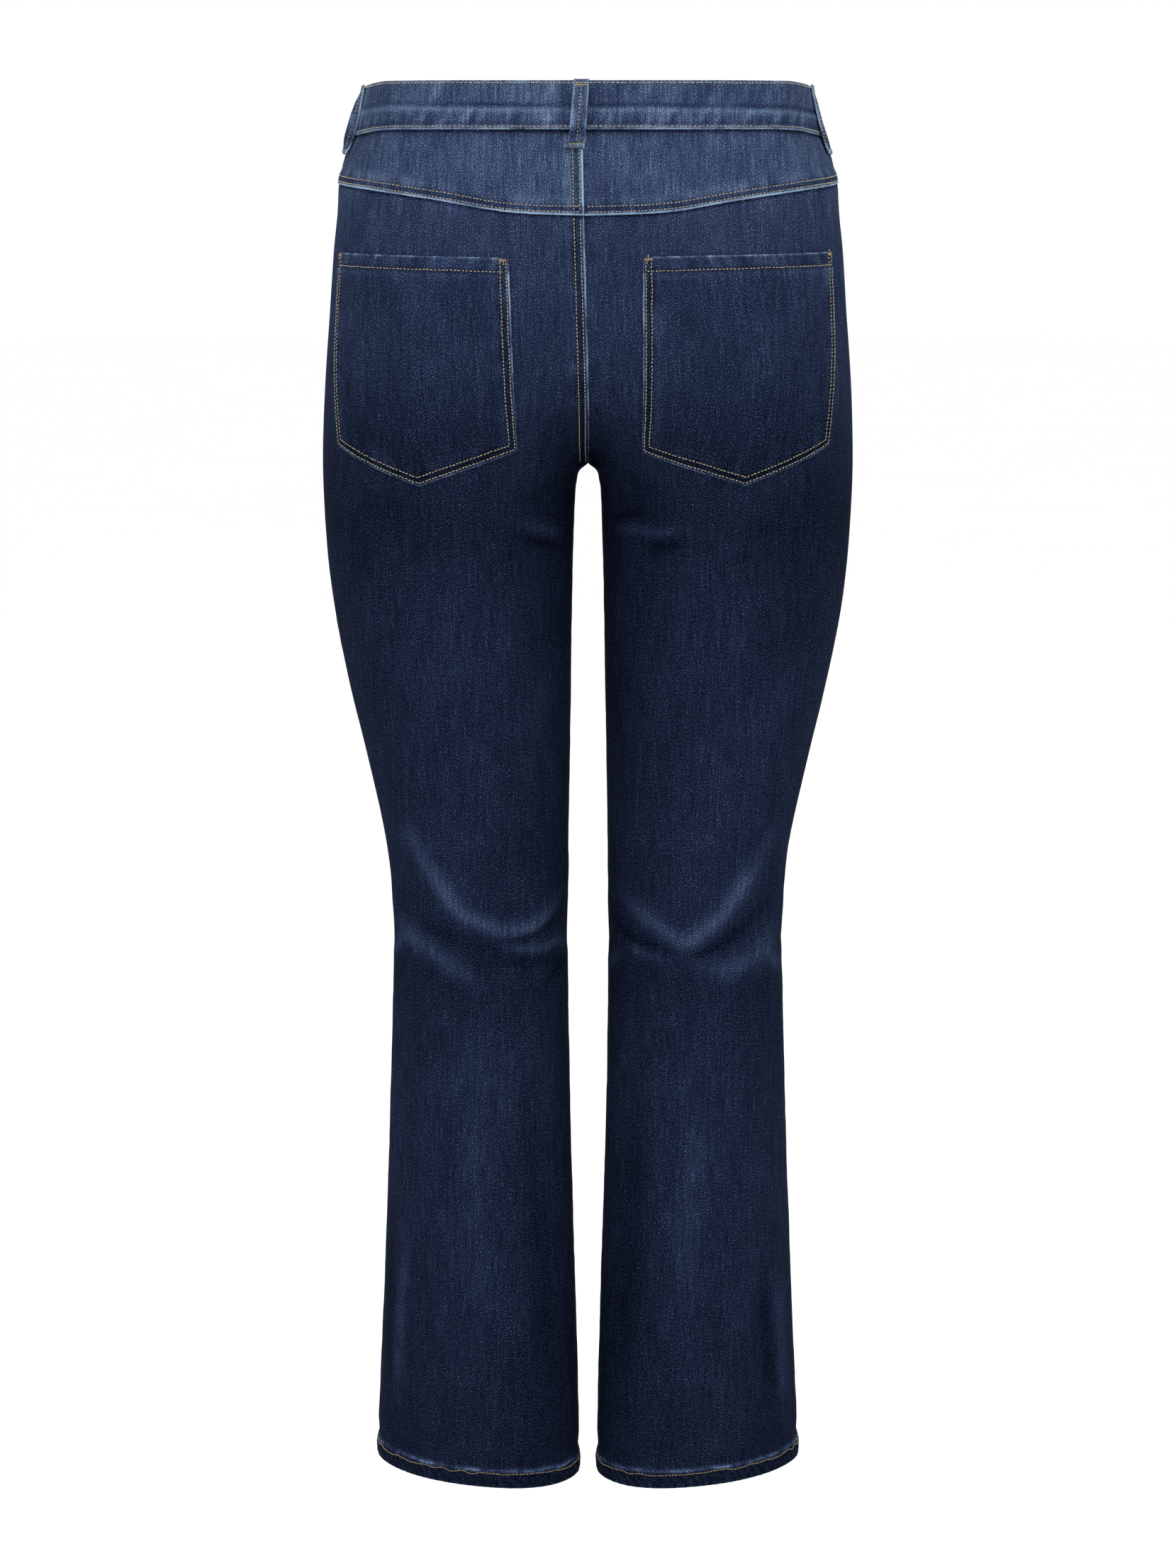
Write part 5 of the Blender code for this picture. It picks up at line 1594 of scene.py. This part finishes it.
class JEANS_OT_hem_stitching(bpy.types.Operator):
    """Sews the two hems in gold-brown thread, a little wavy"""
    bl_idname = "jeans.hem_stitching"
    bl_label = "Hem Stitching"

    def execute(self, context):
        work = Sewing(HEM_STITCH)
        for leg, side in SIDES:
            for face in ("back", "front"):
                panel = MADE[f"{face}_panel_{side}"]
                path = panel.row_path(HEM - 0.2 * MM, 0.6 * MM, 0.6 * MM, bottom=True)
                work.row(path, HEM_PITCH, wander=0.9 * MM, seed=80 + leg + (5 if face == "back" else 0))
        work.finish("hem_stitches", "gold_brown_thread")
        return {"FINISHED"}


STRIP_CORNERS = towards(-1, 0, 1), towards(1, 0, 1), towards(-1, 0, -1), towards(1, 0, -1)
FLY_TACKS = 0.86, 0.99              # shares of the fly's inner row at which its bar tacks lie


class JEANS_OT_fly(bpy.types.Operator):
    """Sews the fly's curved double row and the buttonhole, and lays in the zip's tape and the shield"""
    bl_idname = "jeans.fly"
    bl_label = "Fly"

    def execute(self, context):
        panel = MADE["front_panel_left"]
        work = Sewing()
        for number in range(2):
            further = number * ROW_GAP
            work.row(self.curved(panel, FLY_REACH + further, FLY_DEPTH + further), seed=90 + number)
        work.row(above_crotch(panel.column_path(EDGE_ROW, 2.0 * MM, last=True)), seed=95)
        inner_row = self.curved(panel, FLY_REACH, FLY_DEPTH)
        for share_of_row in FLY_TACKS:
            index = int(share_of_row * (len(inner_row.points) - 1))
            work.tack(inner_row.points[index], UP, inner_row.normals[index], work.settings.tack)
        work.finish("fly_stitches")
        self.buttonhole()
        self.zip_tape()
        self.fly_shield()
        return {"FINISHED"}

    def zip_tape(self):
        """The tape's two halves, closed, as one strip with a raised cord on each side of its middle."""
        cloth = Cloth.on(strip_net("zip", STRIP_CORNERS, 12, 9), 1.2 * MM, 0.8 * MM)
        across = np.minimum(cloth.from_first(), cloth.from_last())
        from_middle = float(across.max()) - across
        cord, groove = bell(from_middle - 3.0 * MM, 0.9 * MM), bell(from_middle, 1.0 * MM)
        cloth.lift(0.3 * MM * cord - 0.15 * MM * groove)
        cloth.settle()
        tape = zip_tape_material("navy_zip_tape", settings().cloth)
        piece = cloth_piece("zip_tape_cloth", cloth, 1.0 * MM, (tape, tape), 1)
        declare(piece, cloth, "zip")

    def curved(self, panel, reach, depth, straight_steps=40, turn_steps=24):
        """The fly's row: down the left front at a reach from the middle, then round to the centre seam."""
        top = panel.base[0, 0, 2]
        bend = top - (depth - reach)
        turns = [math.radians(90.0) * k / turn_steps for k in range(1, turn_steps)]
        places = [(reach, top - 2.0 * MM - k * (depth - reach) / straight_steps)
                  for k in range(straight_steps + 1)]
        places += [(reach * math.cos(turn), bend - reach * math.sin(turn)) for turn in turns]
        across = np.array([panel.across_at(x, height) for x, height in places])
        return Path(*panel.at(across, np.array([height for _, height in places])))

    def buttonhole(self):
        """The buttonhole: close upright stitches in two rows."""
        band = MADE["waistband"]
        work = Sewing()
        row = int(np.abs(band.from_bottom()[:, 0] - BUTTONHOLE_HEIGHT).argmin())
        first, last = [int(np.abs(band.across[row] - place).argmin()) for place in BUTTONHOLE]
        for at, normal in zip(band.points[row, first:last + 1], band.normals[row, first:last + 1]):
            for way in (-1.0, 1.0):
                place = at + UP * way * 1.1 * MM
                work.place(place[None], UP[None], normal[None], scale=0.75)
        work.finish("buttonhole_stitches")

    def fly_shield(self):
        """The shield keeps its solid's flat strip, made again as soft cloth."""
        cloth = Cloth.on(strip_net("fly_shield", STRIP_CORNERS, 12, 5), 2.0 * MM, 2.0 * MM)
        cloth.lift(drape(cloth, 640, 0.05 * MM))
        cloth.settle()
        cloth.fade = np.full(cloth.across.shape, 0.3)
        lay(cloth, "fly_shield", 1.2 * MM)


# Half the button's outline, as shares of its radius and of its height: base, rolled rim, ring and dome.
BUTTON_PROFILE = (
    (0.0, 0.0), (0.40, 0.0), (0.44, 0.20), (0.86, 0.30), (0.96, 0.42), (1.0, 0.58), (0.97, 0.76),
    (0.90, 0.86), (0.80, 0.84), (0.74, 0.76), (0.68, 0.78), (0.62, 0.84), (0.56, 0.80), (0.50, 0.82),
    (0.30, 0.92), (0.12, 0.97), (0.0, 0.98))
SMOOTH_ANGLE = math.radians(40.0)   # metal edges sharper than this stay sharp
TEETH_FROM = 8.0 * MM               # from the top of the tape to the first tooth
TEETH_LESS = 12.0 * MM              # how much shorter the row of teeth is than the tape
SLIDER_FROM = 9.0 * MM              # from the top of the tape to the slider


class JEANS_OT_metal(bpy.types.Operator):
    """Makes the tack button and the zip's teeth and slider in aged brass"""
    bl_idname = "jeans.metal"
    bl_label = "Button and Zip"

    def execute(self, context):
        metal = settings().metal
        brass = aged_brass("aged_brass", metal.brass)
        self.button(metal, brass)
        self.teeth(metal, brass)
        return {"FINISHED"}

    def button(self, metal, brass):
        """A domed cap with a rolled rim and a plain ring, turned by spinning its half profile."""
        low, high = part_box("waist_button")
        radius, height = metal.button / 2.0, high.y - low.y
        button = added(bpy.ops.mesh.primitive_circle_add, "waist_button_metal", vertices=3, radius=radius)
        bpy.ops.object.mode_set(mode="EDIT")
        work = bmesh.from_edit_mesh(button.data)
        work.clear()
        verts = [work.verts.new((x * radius, 0.0, z * height)) for x, z in BUTTON_PROFILE]
        for pair in zip(verts, verts[1:]):
            work.edges.new(pair)
        bmesh.update_edit_mesh(button.data)
        bpy.ops.mesh.select_all(action="SELECT")
        bpy.ops.mesh.spin(steps=48, angle=math.tau, center=(0.0, 0.0, 0.0), axis=(0.0, 0.0, 1.0))
        bpy.ops.mesh.select_all(action="SELECT")
        bpy.ops.mesh.remove_doubles(threshold=0.02 * MM)
        bpy.ops.mesh.normals_make_consistent(inside=False)
        bpy.ops.object.mode_set(mode="OBJECT")
        band = MADE["waistband"]
        row = band.points.shape[0] // 2
        column = int(np.abs(band.across[row] - BUTTON_PLACE).argmin())
        outwards = Vector(band.normals[row, column])
        button.rotation_euler = outwards.to_track_quat("Z", "Y").to_euler()
        button.location = Vector(band.points[row, column]) + outwards * 0.2 * MM
        deselect()
        button.select_set(True)
        bpy.context.view_layer.objects.active = button
        bpy.ops.object.transform_apply(location=True, rotation=True, scale=True)
        bpy.ops.object.shade_smooth_by_angle(angle=SMOOTH_ANGLE)
        button.data.materials.append(brass)
        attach(button, BODY)
        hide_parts("waist_button")

    def teeth(self, metal, brass):
        """Two rows of teeth that mesh, and a slider at their top."""
        net = strip_net("zip", STRIP_CORNERS)
        middle = net[:, net.shape[1] // 2]
        along = path_lengths(middle)
        tooth = added(bpy.ops.mesh.primitive_cube_add, "zip_tooth", size=1.0)
        bpy.ops.object.mode_set(mode="EDIT")
        bpy.ops.transform.resize(value=(3.2 * MM, 1.2 * MM, metal.tooth))
        bpy.ops.mesh.bevel(offset=0.2 * MM, segments=1)
        bpy.ops.object.mode_set(mode="OBJECT")
        shape = coordinates(tooth.data.vertices)
        faces = [tuple(p.vertices) for p in tooth.data.polygons]
        points, made = [], []
        count = int((along[-1] - TEETH_LESS) / (metal.tooth_pitch / 2.0))
        for k in range(count):
            place = TEETH_FROM + k * metal.tooth_pitch / 2.0
            at = between(place, along, middle)
            way = 1.0 if k % 2 else -1.0
            made += [tuple(i + len(points) * len(shape) for i in face) for face in faces]
            points.append(shape + at + np.array([way * 1.1 * MM, 0.5 * MM, 0.0]))
        mesh = bpy.data.meshes.new("zip_teeth")
        mesh.from_pydata(np.concatenate(points).tolist(), [], made)
        bpy.data.meshes.remove(tooth.data)
        new_piece("zip_teeth", mesh, brass)
        self.slider(middle, along, brass)

    def slider(self, middle, along, brass):
        """A slider at the top of the teeth: a rounded body, a bridge and a hanging pull."""
        at = between(SLIDER_FROM, along, middle)
        slider = added(bpy.ops.mesh.primitive_cube_add, "zip_slider", size=1.0)
        bpy.ops.object.mode_set(mode="EDIT")
        bpy.ops.transform.resize(value=(7.4 * MM, 2.6 * MM, 9.0 * MM))
        bpy.ops.mesh.bevel(offset=0.7 * MM, segments=2)
        for size, place in (((2.2 * MM, 1.6 * MM, 5.0 * MM), (0.0, 1.9 * MM, 1.5 * MM)),
                            ((4.6 * MM, 0.9 * MM, 15.0 * MM), (0.0, 2.5 * MM, -8.0 * MM))):
            bpy.ops.mesh.select_all(action="DESELECT")
            bpy.ops.mesh.primitive_cube_add(size=1.0)
            bpy.ops.transform.resize(value=size)
            bpy.ops.mesh.bevel(offset=0.3 * MM, segments=2)
            bpy.ops.mesh.select_linked()
            bpy.ops.transform.translate(value=place)
        bpy.ops.mesh.select_all(action="SELECT")
        bpy.ops.transform.translate(value=(at[0], at[1] + 0.5 * MM, at[2]))
        bpy.ops.object.mode_set(mode="OBJECT")
        bpy.ops.object.shade_smooth_by_angle(angle=SMOOTH_ANGLE)
        slider.data.materials.append(brass)
        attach(slider, BODY)


# Stage --------------------------------------------
# Soft lights: name, place, size, and the setting that holds the power.
LAMPS = (
    ("left_softbox", (2.6, 3.0, 0.7), 1.8, "key_power"),
    ("right_softbox", (-2.6, 3.0, 0.7), 1.8, "key_power"),
    ("overhead_softbox", (0.0, 1.6, 2.4), 2.2, "top_power"))
LAMP_AIM = Vector((0.0, 0.0, -0.45))
FLOOR_RADIUS = 40.0
SENSOR = 36.0                       # width of the camera's sensor, in millimetres


class JEANS_OT_stage(bpy.types.Operator):
    """Sets the pale studio: floor, soft lights, and the camera behind the jeans"""
    bl_idname = "jeans.stage"
    bl_label = "Studio"

    def execute(self, context):
        stage = settings().stage
        self.floor(stage)
        self.lights(stage)
        self.camera(stage)
        context.scene.view_settings.view_transform = "Standard"
        return {"FINISHED"}

    def floor(self, stage):
        floor = added(bpy.ops.mesh.primitive_circle_add, "studio_floor", vertices=96, radius=FLOOR_RADIUS,
                      fill_type="NGON", location=(0.0, 0.0, stage.floor))
        floor.data.materials.append(floor_paper("pale_studio_floor", stage.floor_colour))

    def lights(self, stage):
        scene = bpy.context.scene
        world = bpy.data.worlds.new("studio_light")
        world.use_nodes = True
        background = world.node_tree.nodes["Background"]
        background.inputs["Color"].default_value = (*stage.sky, 1.0)
        background.inputs["Strength"].default_value = stage.sky_strength
        scene.world = world
        for name, place, size, power in LAMPS:
            lamp = added(bpy.ops.object.light_add, name, type="AREA", location=place)
            lamp.data.shape = "SQUARE"
            lamp.data.size = size
            lamp.data.energy = getattr(stage, power)
            aim = LAMP_AIM - Vector(place)
            lamp.rotation_euler = aim.to_track_quat("-Z", "Y").to_euler()

    def camera(self, stage):
        camera = added(bpy.ops.object.camera_add, "camera_behind",
                       location=(0.0, stage.distance, stage.height),
                       rotation=(math.radians(90.0) - stage.pitch, 0.0, math.radians(180.0)))
        camera.data.lens = stage.lens
        camera.data.sensor_width = SENSOR
        camera.data.clip_end = 100.0
        bpy.context.scene.camera = camera


# Panel and registration ---------------------------
class JeansSettings(bpy.types.PropertyGroup):
    cloth: PointerProperty(type=ClothSettings, name="Cloth", description="Denim, its weave and its fading")
    sewing: PointerProperty(type=SewingSettings, name="Sewing", description="Thread and stitches")
    metal: PointerProperty(type=MetalSettings, name="Metal", description="Button and zip")
    stage: PointerProperty(type=StageSettings, name="Studio", description="Floor, lights and camera")


STEPS = (
    JEANS_OT_back_panels, JEANS_OT_front_panels, JEANS_OT_yokes, JEANS_OT_waistband,
    JEANS_OT_back_pockets, JEANS_OT_belt_loops, JEANS_OT_topstitching, JEANS_OT_hem_stitching,
    JEANS_OT_fly, JEANS_OT_metal, JEANS_OT_stage)


class JEANS_PT_workbench(bpy.types.Panel):
    """The jeans' pieces in the order in which they are made"""
    bl_idname = "JEANS_PT_workbench"
    bl_label = "Flared Jeans"
    bl_space_type = "VIEW_3D"
    bl_region_type = "UI"
    bl_category = "Jeans"

    def draw(self, context):
        for step in STEPS:
            self.layout.operator(step.bl_idname)
        for group in (settings().cloth, settings().sewing, settings().metal, settings().stage):
            box = self.layout.box()
            for key in group.bl_rna.properties.keys():
                if key not in ("rna_type", "name"):
                    box.prop(group, key)


CLASSES = (ClothSettings, SewingSettings, MetalSettings, StageSettings, JeansSettings, *STEPS,
           JEANS_PT_workbench)


def register():
    for item in CLASSES:
        bpy.utils.register_class(item)
    bpy.types.Scene.jeans = PointerProperty(type=JeansSettings)


def unregister():
    del bpy.types.Scene.jeans
    for item in reversed(CLASSES):
        bpy.utils.unregister_class(item)


def main():
    register()
    bpy.ops.jeans.back_panels()
    bpy.ops.jeans.front_panels()
    bpy.ops.jeans.yokes()
    bpy.ops.jeans.waistband()
    bpy.ops.jeans.back_pockets()
    bpy.ops.jeans.belt_loops()
    bpy.ops.jeans.topstitching()
    bpy.ops.jeans.hem_stitching()
    bpy.ops.jeans.fly()
    bpy.ops.jeans.metal()
    bpy.ops.jeans.stage()


if __name__ == "__main__":
    main()
